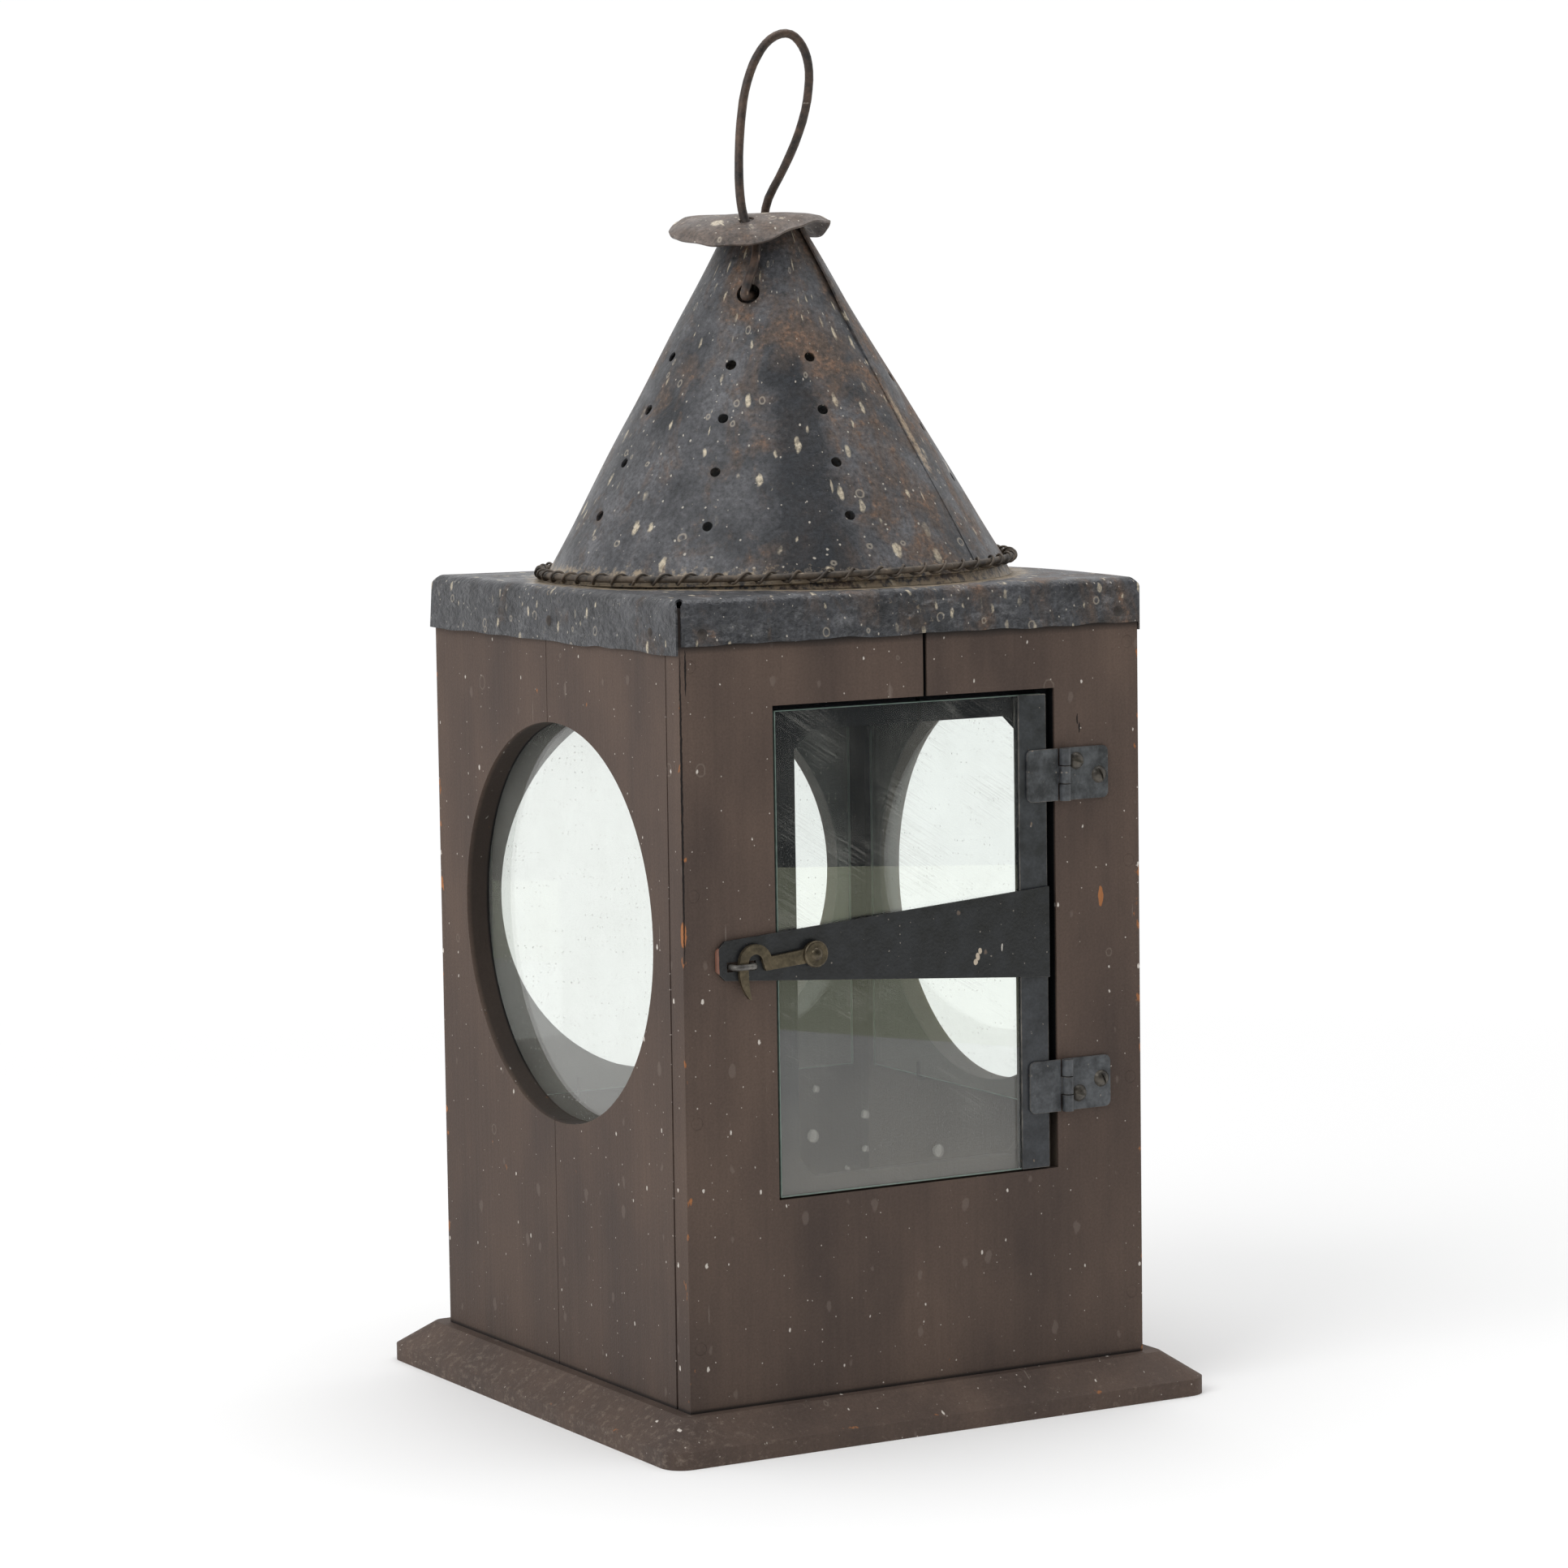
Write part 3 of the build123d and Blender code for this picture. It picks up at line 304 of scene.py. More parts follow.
def upright(tree, place):
    """Flat coordinates: along the wall and up on upright faces, and as they lie on level faces."""
    axes = add(tree, "SeparateXYZ", {"Vector": place}).node.outputs
    along = add(tree, "Math", {0: axes[0], 1: axes[1]}, operation="ADD")
    wall = add(tree, "CombineXYZ", {0: along, 1: axes[2]})
    rise = add(tree, "SeparateXYZ", {"Vector": add(tree, "TexCoord", output=1)}, output=2)
    rise = add(tree, "Math", {0: rise}, operation="ABSOLUTE")
    level = add(tree, "Math", {0: rise, 1: 0.8}, operation="GREATER_THAN")
    return add(tree, "Mix", {0: level, 4: wall, 5: place}, output=1, data_type="VECTOR")


def shaken(tree, place, size, detail, amount):
    """A place moved about by a fine noise, in millimetres, so that the outline of a mark comes out ragged."""
    rough = add(tree, "TexNoise", {"Vector": place, "Scale": per(size), "Detail": detail}, output=1)
    rough = add(tree, "VectorMath", {0: rough, 1: (-0.5, -0.5, -0.5)}, operation="ADD")
    return add(tree, "VectorMath", {0: rough, 1: (amount * MM,) * 3, 2: place}, operation="MULTIPLY_ADD")


def band(tree, value, middle, outer, inner, share=1.0):
    """A mask round one middle of a value: nothing beyond the outer reach, the share within the inner one."""
    off = add(tree, "Math", {0: value, 1: middle}, operation="SUBTRACT")
    off = add(tree, "Math", {0: off}, operation="ABSOLUTE")
    return add(tree, "MapRange", {"Value": off, "From Min": outer, "From Max": inner, "To Max": share})


def cells(tree, flat, spacing, width, share, grit, tall, seed):
    """Ragged cells round scattered middles: the distance from each middle and the reach of its mark."""
    near = shaken(tree, flat, grit, 3, 0.7 * grit)
    spread = {0: near, 1: (1, 1 / tall, 1), 2: (seed, seed, 0)}
    spread = add(tree, "VectorMath", spread, operation="MULTIPLY_ADD")
    far = add(tree, "TexVoronoi", {"Vector": spread, "Scale": per(spacing)}, voronoi_dimensions="2D")
    chance = add(tree, "SeparateColor", {"Color": far.node.outputs["Color"]})
    span = {"Value": chance, "From Min": 1 - share, "From Max": 1, "To Max": width / spacing / 2}
    return far, add(tree, "MapRange", span)


def specks(tree, flat, spacing, width, share, tall=1.0, seed=0.0):
    """A mask of ragged specks up to this wide, in a share of the cells."""
    far, size = cells(tree, flat, spacing, width, share, width, tall, seed)
    edge = add(tree, "Math", {0: size, 1: far}, operation="SUBTRACT")
    return add(tree, "MapRange", {"Value": edge, "From Max": 0.3 * width / spacing / 2})


def rings(tree, flat, spacing, width, share, seed=0.0):
    """A mask of thin ring marks, as drops leave when they dry."""
    far, size = cells(tree, flat, spacing, width, share, width / 3, 1.2, seed)
    line = band(tree, far, size, 0.4 / spacing, 0.1 / spacing)
    there = add(tree, "Math", {0: size, 1: 0.5 / spacing}, operation="GREATER_THAN")
    return add(tree, "Math", {0: line, 1: there}, operation="MULTIPLY")


def spot(tree, place, middle, reach, ragged):
    """A mask of one ragged spot round a place, with its reach along the three axes, in millimetres."""
    scale = [per(size) for size in reach]
    shift = [-along * MM * size for along, size in zip(middle, scale)]
    near = {0: shaken(tree, place, 2.5, 4, ragged), 1: scale, 2: shift}
    near = add(tree, "VectorMath", near, operation="MULTIPLY_ADD")
    far = add(tree, "VectorMath", {0: near}, output=1, operation="LENGTH")
    return add(tree, "MapRange", {"Value": far, "From Min": 1.0, "From Max": 0.85})


def stretched(tree, place, across, along):
    """Coordinates in which a pattern of unit size is this many millimetres wide and this many tall."""
    return add(tree, "Mapping", {"Vector": place, "Scale": (per(across), per(across), per(along))})


def between(tree, value, dark, light, low=0.0, high=1.0):
    """A colour that goes from dark to light as a value goes from low to high."""
    tone = add(tree, "MapRange", {"Value": value, "From Min": low, "From Max": high})
    return add(tree, "Mix", {0: tone, 6: linear(dark), 7: linear(light)}, output=2, data_type="RGBA")


def shaded(tree, colour, value, dim, bright, low=0.3, high=0.7):
    """A colour that is dimmed or brightened as a value goes from low to high."""
    span = {"Value": value, "From Min": low, "From Max": high, "To Min": dim, "To Max": bright}
    return add(tree, "VectorMath", {0: colour, "Scale": add(tree, "MapRange", span)}, operation="SCALE")


def coated(tree, under, mask, code, share=1.0):
    """A colour with a coat of another over it where the mask is, covering no more than the share."""
    cover = add(tree, "Math", {0: mask, 1: share}, operation="MULTIPLY")
    return add(tree, "Mix", {0: cover, 6: under, 7: linear(code)}, output=2, data_type="RGBA")


# Marks on the materials: the middle and the reach of each, in millimetres
CRACKS = (
    ((72.3, -100, 263.6), (0.4, 9, 2.3)),
    ((73.2, -100, 260.2), (0.4, 9, 2.2)),
    ((-97.2, -100, 290), (0.4, 9, 9)),
    ((-99.4, -100.2, 240), (0.5, 1.2, 64)),
)
CHIPS = (
    ((82.3, -100, 195), (1.2, 9, 4.2), 1.2),
    ((-100, -100, 194), (1.8, 1.8, 5), 1.8),
)
ARM_SPOTS = (
    ((24.6, -101, 174.4), (1.0, 6, 1.4), "#b9ab98"),
    ((25.6, -101, 176.4), (1.0, 6, 1.5), "#b9ab98"),
    ((26.7, -101, 178.4), (0.8, 6, 1.3), "#b9ab98"),
    ((36.4, -101, 179), (0.4, 6, 1.6), "#b5b0a8"),
    ((-87, -101, 183), (1.2, 6, 12), "#7d5444"),
)
WATER_SPOTS = (
    (-45.5, 114.5, 2.2),
    (-23, 120.5, 1.5),
    (-23, 107.5, 1.2),
    (9, 103.5, 2.2),
    (-31, 101, 0.8),
    (-44, 132, 1.2),
)


# Materials
def painted_wood(name, base=False, edge=False):
    """Matt brown paint on old boards: brushed, specked with pale paint, worn to the wood at its edges."""
    made, tree, place = begun(name)
    axes = add(tree, "SeparateXYZ", {"Vector": place}).node.outputs
    x_off = add(tree, "Math", {0: axes[0]}, operation="ABSOLUTE")
    y_off = add(tree, "Math", {0: axes[1]}, operation="ABSOLUTE")
    reach = add(tree, "Math", {0: x_off, 1: y_off}, operation="MAXIMUM")
    flat = upright(tree, place)
    # Brush marks, the grain under the paint and broad uneven patches
    streaks = add(tree, "TexNoise", {"Vector": stretched(tree, place, 2.0, 90), "Scale": 1, "Detail": 5})
    patches = add(tree, "TexNoise", {"Vector": stretched(tree, place, 30, 70), "Scale": 1, "Detail": 4})
    fine = add(tree, "TexNoise", {"Vector": place, "Scale": per(0.9), "Detail": 3})
    paint = between(tree, patches, "#463a34", "#5a4b42", 0.3, 0.7)
    paint = shaded(tree, paint, streaks, 0.95, 1.05)
    paint = shaded(tree, paint, fine, 0.9, 1.1)
    # Painted light: the paint is brighter towards the top
    paint = shaded(tree, paint, axes[2], 0.99, 1.14, 0.06, 0.3)
    # Dried rings, pale hazes, splashes, dots and scratches
    for mask, code, share in (
        (rings(tree, flat, 30, 4.5, 0.3, seed=0.31), "#93887d", 0.22),
        (specks(tree, flat, 10, 3.4, 0.25, tall=1.8, seed=0.7), "#8d8178", 0.2),
        (specks(tree, flat, 12, 1.4, 0.45, tall=1.7), "#d3ccc3", 0.85),
        (specks(tree, flat, 6.5, 0.7, 0.5, seed=0.13), "#b3aaa1", 1.0),
        (specks(tree, flat, 9, 0.7, 0.3, tall=16, seed=0.83), "#8f857c", 0.3),
    ):
        paint = coated(tree, paint, mask, code, share)
    # Edges worn down to the wood
    chips = add(tree, "TexNoise", {"Vector": stretched(tree, place, 5, 10), "Scale": 1, "Detail": 5})
    raw = between(tree, streaks, "#7a4a2c", "#b57a4c")
    if base:
        rub = {"Vector": stretched(tree, place, 4, 2.5), "Scale": 1, "Detail": 8, "Roughness": 0.8}
        side = {"Value": axes[0], "From Min": -0.118, "From Max": -0.06, "To Min": 0.03, "To Max": -0.03}
        rub = {0: add(tree, "TexNoise", rub), 1: add(tree, "MapRange", side)}
        rub = add(tree, "Math", rub, operation="ADD")
        rubbed = add(tree, "MapRange", {"Value": rub, "From Min": 0.54, "From Max": 0.75, "To Max": 0.55})
        slope = add(tree, "MapRange", {"Value": reach, "From Min": 0.1035, "From Max": 0.106})
        paint = coated(tree, paint, rubbed, "#96887a", slope)
        low = {"Value": axes[2], "From Min": 0.0045, "From Max": 0.0075, "To Max": 0.18}
        low = add(tree, "MapRange", low)
        rim = add(tree, "MapRange", {"Value": reach, "From Min": 0.1145, "From Max": 0.1168})
        worn = add(tree, "Math", {0: low, 1: rim, 2: chips}, operation="MULTIPLY_ADD")
        bare = add(tree, "MapRange", {"Value": worn, "From Min": 0.8, "From Max": 0.86, "To Max": 0.8})
    else:
        corner = add(tree, "Math", {0: x_off, 1: y_off}, operation="MINIMUM")
        worn = add(tree, "MapRange", {"Value": corner, "From Min": 0.0965, "From Max": 0.1, "To Max": 0.17})
        worn = add(tree, "Math", {0: worn, 1: chips}, operation="ADD")
        bare = add(tree, "MapRange", {"Value": worn, "From Min": 0.735, "From Max": 0.765})
        if edge:
            rubbed = add(tree, "MapRange", {"Value": chips, "From Min": 0.4, "From Max": 0.65})
            paint = coated(tree, paint, rubbed, "#85776c", 0.5)
        for middle, size, ragged in CHIPS:
            chip = spot(tree, place, middle, size, ragged)
            bare = add(tree, "Math", {0: bare, 1: chip}, operation="MAXIMUM")
    paint = add(tree, "Mix", {0: bare, 6: paint, 7: raw}, output=2, data_type="RGBA")
    sheen = 0.3
    if not base:
        # Grime and painted shade on the reveals, soot and painted shade inside, darker towards the top
        grime_and_shade = add(tree, "MapRange", {"Value": reach, "From Min": 0.0996, "From Max": 0.0978})
        paint = coated(tree, paint, grime_and_shade, "#241f1b", 0.72)
        # The reveals of the door opening take this dark inside colour too, as a painted shadow
        front = {"From Min": -0.0907, "From Max": -0.0903, "To Min": 0.0994, "To Max": 0.0917}
        front = add(tree, "MapRange", {"Value": axes[1], **front})
        depth = add(tree, "Math", {0: front, 1: reach}, operation="SUBTRACT")
        inside = add(tree, "MapRange", {"Value": depth, "From Max": 0.0009})
        sheen = add(tree, "MapRange", {"Value": inside, "To Min": 0.3, "To Max": 0.02})
        soot_and_shade = between(tree, axes[2], "#7d6f62", "#1a1b1d", 0.04, 0.13)
        soot_and_shade = shaded(tree, soot_and_shade, streaks, 0.95, 1.05)
        paint = add(tree, "Mix", {0: inside, 6: paint, 7: soot_and_shade}, output=2, data_type="RGBA")
        # Painted shadow lines under the tin cap and along the base board, and dark cracks
        for start, full in ((0.2965, 0.2995), (0.0176, 0.0166)):
            line = add(tree, "MapRange", {"Value": axes[2], "From Min": start, "From Max": full})
            paint = coated(tree, paint, line, "#191615", 0.85)
        for middle, size in CRACKS:
            paint = coated(tree, paint, spot(tree, place, middle, size, 0.8), "#1a1412")
    dull = add(tree, "MapRange", {"Value": patches, "To Min": 0.6, "To Max": 0.85})
    relief = add(tree, "Math", {0: streaks, 1: fine}, operation="ADD")
    relief = add(tree, "Math", {0: relief, 1: bare}, operation="SUBTRACT")
    normal = add(tree, "Bump", {"Height": relief, "Strength": 0.45, "Distance": 0.0003})
    surface = {"Base Color": paint, "Roughness": dull, "Normal": normal, "Specular IOR Level": sheen}
    closed(tree, add(tree, "BsdfPrincipled", surface))
    return made


def blackened_tin(name, dark, light, cone=False, wrinkled=False, blots=0.0):
    """Old blackened tin: slate, near black and brown in soft patches, with dried drips, rings and dirt."""
    made, tree, place = begun(name)
    axes = add(tree, "SeparateXYZ", {"Vector": place}).node.outputs
    turn = add(tree, "Math", {0: axes[1], 1: axes[0]}, operation="ARCTAN2")
    flat = upright(tree, place)
    if cone:
        along = add(tree, "Math", {0: turn, 1: 0.055}, operation="MULTIPLY")
        flat = add(tree, "CombineXYZ", {0: along, 1: axes[2]})
    if blots:
        flat = place
    # Slate grey with near black patches
    patches = add(tree, "TexNoise", {"Vector": place, "Scale": per(24), "Detail": 7, "Roughness": 0.66})
    tin = between(tree, patches, dark, light, 0.36, 0.64)
    # Brown clouds and grains of rust, more of them to the right and towards the top
    clouds = {"Vector": stretched(tree, place, 16, 26), "Scale": 1, "Detail": 8, "Roughness": 0.68}
    clouds = add(tree, "TexNoise", {**clouds, "Distortion": 0.5})
    side = add(tree, "VectorMath", {0: place, 1: (0.87, -0.5, 0)}, output=1, operation="DOT_PRODUCT")
    lean = {"Value": side, "From Min": -0.05, "From Max": 0.06, "To Min": -0.05, "To Max": 0.05}
    rusting = add(tree, "Math", {0: clouds, 1: add(tree, "MapRange", lean)}, operation="ADD")
    if cone:
        top = add(tree, "MapRange", {"Value": axes[2], "From Min": 0.38, "From Max": 0.43, "To Max": 0.05})
        rusting = add(tree, "Math", {0: rusting, 1: top}, operation="ADD")
    if wrinkled:
        rusting = add(tree, "Math", {0: rusting, 1: 0.05}, operation="SUBTRACT")
    rust = add(tree, "MapRange", {"Value": rusting, "From Min": 0.47, "From Max": 0.63})
    tin = coated(tree, tin, rust, "#57493f", 0.85)
    grains = add(tree, "TexNoise", {"Vector": place, "Scale": per(3), "Detail": 6, "Roughness": 0.7})
    grainy = add(tree, "Math", {0: grains, 1: rusting}, operation="ADD")
    grainy = add(tree, "MapRange", {"Value": grainy, "From Min": 1.12, "From Max": 1.28})
    tin = coated(tree, tin, grainy, "#7a5d49", 0.7)
    if cone:
        # A dark run down the front and a pale streak along the seam
        run = band(tree, turn, math.radians(-111), 0.3, 0.02)
        low = add(tree, "MapRange", {"Value": axes[2], "From Min": 0.41, "From Max": 0.385})
        streak = band(tree, turn, SEAM_ANGLE + math.radians(1.2), 0.06, 0.015)
        span = band(tree, axes[2], 0.372, 0.028, 0.01)
        for mask, length, start, full, code, share in (
            (run, low, 0.12, 0.32, "#1d2025", 0.85),
            (streak, span, 0.3, 0.5, "#a3917a", 0.8),
        ):
            mask = add(tree, "Math", {0: mask, 1: length}, operation="MULTIPLY")
            mask = add(tree, "Math", {0: mask, 1: grains}, operation="MULTIPLY")
            mask = add(tree, "MapRange", {"Value": mask, "From Min": start, "From Max": full})
            tin = coated(tree, tin, mask, code, share)
    if wrinkled:
        scuffs = {"Vector": stretched(tree, place, 9, 4), "Scale": 1, "Detail": 6, "Roughness": 0.7}
        scuffs = add(tree, "TexNoise", scuffs)
        scuffs = add(tree, "MapRange", {"Value": scuffs, "From Min": 0.54, "From Max": 0.7})
        tin = coated(tree, tin, scuffs, "#7b7b7d", 0.55)
        # Painted shade: the left side of the cap is darker
        tin = shaded(tree, tin, axes[0], 0.8, 1.0, -0.0995, -0.097)
    fine = add(tree, "TexNoise", {"Vector": place, "Scale": per(1.7), "Detail": 6, "Roughness": 0.72})
    tin = shaded(tree, tin, fine, 0.35, 1.66)
    # Pale drips that ran down, gathered in bands, then specks, small rings and broad blots
    bands = add(tree, "TexNoise", {"Vector": stretched(tree, place, 14, 70), "Scale": 1, "Detail": 3})
    bands = add(tree, "MapRange", {"Value": bands, "From Min": 0.4, "From Max": 0.52})
    thin = {"Value": fine, "From Min": 0.4, "From Max": 0.58, "To Min": 0.35, "To Max": 1.0}
    thin = add(tree, "MapRange", thin)
    drips = specks(tree, flat, 6, 2.7, 0.6, tall=2.4)
    drips = add(tree, "Math", {0: drips, 1: thin}, operation="MULTIPLY")
    trails = specks(tree, flat, 8, 1.0, 0.5, tall=7, seed=0.37)
    trails = add(tree, "Math", {0: trails, 1: 0.7}, operation="MULTIPLY")
    drips = add(tree, "Math", {0: drips, 1: trails}, operation="MAXIMUM")
    coats = [
        (drips, "#c2b69f", bands),
        (specks(tree, flat, 3.6, 0.85, 0.42, tall=1.3, seed=0.2), "#b9b2a6", 0.8),
        (rings(tree, flat, 10, 2.8, 0.3, seed=0.5), "#aaa090", 0.5),
    ]
    if blots:
        coats.append((specks(tree, flat, 11, 6.5, blots, seed=0.61), "#c9bda9", thin))
    for mask, code, share in coats:
        tin = coated(tree, tin, mask, code, share)
    # Dirt that gathered along the laced foot of the roof
    level = add(tree, "VectorMath", {0: place, 1: (1, 1, 0)}, operation="MULTIPLY")
    radius = add(tree, "VectorMath", {0: level}, output=1, operation="LENGTH")
    near = band(tree, radius, 0.0925, 0.011, 0.001, 0.36)
    low = add(tree, "MapRange", {"Value": axes[2], "From Min": 0.331, "From Max": 0.322})
    crust = add(tree, "Math", {0: near, 1: low, 2: grains}, operation="MULTIPLY_ADD")
    crust = add(tree, "MapRange", {"Value": crust, "From Min": 0.68, "From Max": 0.82})
    tin = coated(tree, tin, crust, "#9a8a73", 0.85)
    dull = {"Value": rusting, "From Min": 0.35, "From Max": 0.7, "To Min": 0.38, "To Max": 0.7}
    dull = add(tree, "MapRange", dull)
    relief = add(tree, "Math", {0: fine, 1: clouds}, operation="ADD")
    normal = add(tree, "Bump", {"Height": relief, "Strength": 0.45, "Distance": 0.0005})
    if wrinkled:
        # Fine wrinkles in the folded sides
        creases = {"Vector": stretched(tree, place, 4, 3), "Scale": 1, "Detail": 4, "Distortion": 0.8}
        creases = add(tree, "TexNoise", creases)
        normal = add(tree, "Bump", {"Height": creases, "Strength": 0.8, "Distance": 0.0016, "Normal": normal})
    surface = {"Base Color": tin, "Roughness": dull, "Normal": normal}
    surface = {**surface, "Metallic": 0.1, "Specular IOR Level": 0.5}
    closed(tree, add(tree, "BsdfPrincipled", surface))
    return made


def worn_metal(name, dark, light, rough, metallic, chip=None, share=0.0, spots=()):
    """A small iron, brass or tin piece: an uneven tone between two colours, with chips of a third."""
    made, tree, place = begun(name)
    clouds = add(tree, "TexNoise", {"Vector": place, "Scale": per(7), "Detail": 5, "Roughness": 0.65})
    fine = add(tree, "TexNoise", {"Vector": place, "Scale": per(1.2), "Detail": 4})
    metal = between(tree, clouds, dark, light, 0.35, 0.65)
    metal = shaded(tree, metal, fine, 0.82, 1.18)
    if chip:
        flat = upright(tree, place)
        metal = coated(tree, metal, specks(tree, flat, 12, 2.4, share, tall=1.3), chip)
        metal = coated(tree, metal, specks(tree, flat, 5, 0.8, 0.35, seed=0.4), "#8d857c", 0.7)
    for middle, size, tint in spots:
        metal = coated(tree, metal, spot(tree, place, middle, size, 1.0), tint)
    dull = add(tree, "MapRange", {"Value": clouds, "To Min": rough - 0.1, "To Max": rough + 0.12})
    normal = add(tree, "Bump", {"Height": fine, "Strength": 0.35, "Distance": 0.0002})
    surface = {"Base Color": metal, "Roughness": dull, "Metallic": metallic, "Normal": normal}
    closed(tree, add(tree, "BsdfPrincipled", surface))
    return made


def dusty_glass(name, door=False, thin=0.055, thick=0.085):
    """Clear old window glass that shows what is behind it, with dust, smears and dried water spots on it."""
    made, tree, place = begun(name)
    clear = {"Base Color": linear("#fafdfb"), "Roughness": 0.0, "IOR": 1.5, "Transmission Weight": 1.0}
    clear = add(tree, "BsdfPrincipled", clear)
    film = add(tree, "TexNoise", {"Vector": place, "Scale": per(30), "Detail": 6, "Roughness": 0.65})
    film = {"Value": film, "From Min": 0.4, "From Max": 0.75, "To Min": thin, "To Max": thick}
    film = add(tree, "MapRange", film)
    # Real dust is finer, and these specks are as coarse as they need to be to show
    dust = specks(tree, upright(tree, place), 3.4, 0.7, 0.4)
    dust = add(tree, "Math", {0: dust, 1: 0.2 if door else 0.55}, operation="MULTIPLY")
    veil = add(tree, "Math", {0: film, 1: dust}, operation="MAXIMUM")
    if door:
        # A haze on its lower part, slanting smears and water spots
        height = add(tree, "SeparateXYZ", {"Vector": place}, output=2)
        haze = add(tree, "MapRange", {"Value": height, "From Min": 0.175, "From Max": 0.125, "To Max": 0.03})
        veil = add(tree, "Math", {0: veil, 1: haze}, operation="ADD")
        slant = add(tree, "Mapping", {"Vector": place, "Rotation": (0, math.radians(58), 0)})
        wiped = add(tree, "TexNoise", {"Vector": stretched(tree, slant, 0.6, 24), "Scale": 1, "Detail": 4})
        broad = add(tree, "TexNoise", {"Vector": place, "Scale": per(26), "Detail": 3})
        wiped = add(tree, "Math", {0: wiped, 1: broad}, operation="MULTIPLY")
        wiped = add(tree, "MapRange", {"Value": wiped, "From Min": 0.27, "From Max": 0.42, "To Max": 0.13})
        veil = add(tree, "Math", {0: veil, 1: wiped}, operation="MAXIMUM")
        for x, z, size in WATER_SPOTS:
            water = spot(tree, place, (x, -98, z), (size, 9, size * 1.2), 1.0)
            water = add(tree, "Math", {0: water, 1: 0.3}, operation="MULTIPLY")
            veil = add(tree, "Math", {0: veil, 1: water}, operation="MAXIMUM")
    dirt = add(tree, "BsdfPrincipled", {"Base Color": linear("#b9b7b0"), "Roughness": 0.9})
    seen = add(tree, "MixShader", {0: veil, 1: clear, 2: dirt})
    through = add(tree, "BsdfTransparent", {"Color": linear("#f3f8f5")})
    shadow = add(tree, "LightPath", output=1)
    closed(tree, add(tree, "MixShader", {0: shadow, 1: seen, 2: through}))
    return made


def ground_edge(name):
    """The ground edge of a pane: a pale grey green that lets no view through."""
    made, tree, place = begun(name)
    fine = add(tree, "TexNoise", {"Vector": place, "Scale": per(3), "Detail": 3})
    tone = between(tree, fine, "#4f6159", "#8b9e94")
    closed(tree, add(tree, "BsdfPrincipled", {"Base Color": tone, "Roughness": 0.35}))
    return made


board_paint = painted_wood("worn brown paint on wood")
edge_paint = painted_wood("rubbed edges of painted wood", edge=True)
base_paint = painted_wood("scuffed brown paint on wood", base=True)
cone_tin = blackened_tin("blackened tin of the cone", "#24262a", "#565659", cone=True)
flange_tin = blackened_tin("wrinkled blackened tin", "#292a2d", "#48494d", wrinkled=True)
cap_tin = blackened_tin("browned tin", "#433a35", "#6d6057", blots=0.5)
flat_tin = blackened_tin("blackened tin sheet", "#292a2d", "#48494d")
rusty_wire = worn_metal("rusty iron wire", "#262322", "#5b483c", 0.55, 0.2, "#85705f", 0.35)
lace_wire = worn_metal("dirty iron lacing wire", "#2f2b28", "#65594c", 0.6, 0.2, "#94846e", 0.4)
iron = worn_metal("dark iron", "#242120", "#443d38", 0.55, 0.3)
strap_paint = worn_metal("black paint on strap iron", "#222427", "#36393d", 0.36, 0.0, "#6d5f50", 0.3)
arm_paint = worn_metal("black paint on the arm", "#17181a", "#222427", 0.36, 0.0, "#5d5046", 0.2, ARM_SPOTS)
leaf_paint = worn_metal("worn black paint on hinge leaves", "#2a2c2f", "#54575a", 0.4, 0.0, "#8d8070", 0.5)
strap_edge = worn_metal("worn edge of strap iron", "#2c2d2f", "#6b665f", 0.4, 0.2)
staple_iron = worn_metal("worn iron staple", "#3f3d3b", "#77746f", 0.4, 0.4)
screw_iron = worn_metal("worn screw heads", "#242321", "#5a544b", 0.35, 0.4)
brass = worn_metal("tarnished brass", "#463f33", "#6e634f", 0.36, 0.7)
bare_tin = worn_metal("dull tin", "#6e6d6a", "#98968f", 0.45, 0.6)
door_pane = dusty_glass("dusty glass with water spots", door=True, thin=0.01, thick=0.045)
wall_pane = dusty_glass("dusty glass")
left_pane = dusty_glass("dustier glass", thin=0.085, thick=0.12)
pane_edge = ground_edge("ground glass edge")

# Boards of the case, with open joints, eased edges and chips
BOARDS = (
    "front_left_board",
    "front_right_board",
    "right_front_board",
    "right_rear_board",
    "back_right_board",
    "back_left_board",
    "left_rear_board",
    "left_front_board",
)
for node in BOARDS:
    board = copied(node)
    # The joints over the door, in the left wall and at the near corner stand open
    if node == "front_right_board":
        moved(board, 0, 0.004, 0.0017, low=0.2)
    if node == "left_front_board":
        moved(board, 1, 0.005, -0.0004)
        moved(board, 1, -0.0905, 0.0006)
        moved(board, 1, -0.0899, 0.0007, high=0.1)
    moved(board, 2, WALL_TOP, -TOP_TRIM)
    eased(board, 0.5 * MM, worn=True)
    cleaned(board)
    smoothed(board, flat=True)
    fitted(board, "case", "painted_wood", [node], board_paint, edge_paint)

base = copied("base_board")
for point in base.data.vertices:
    if point.co.x > 0.05:
        point.co.x += BASE_RIGHT
    if point.co.y > 0.05:
        point.co.y += BASE_BACK
eased(base, 3.0 * MM, 5, degrees=25)
cleaned(base)
smoothed(base, flat=True)
fitted(base, "case", "painted_wood", ["base_board"], base_paint)

# Nail heads of the case, a little proud under the paint
nails = copied("case_nails")
for point in nails.data.vertices:
    for axis in (0, 1):
        if abs(abs(point.co[axis]) - CASE_HALF) < SAME_PLACE:
            point.co[axis] += math.copysign(NAIL_PROUD, point.co[axis])
eased(nails, 0.3 * MM)
smoothed(nails, 40)
fitted(nails, "case", "iron_wire", ["case_nails"], board_paint)

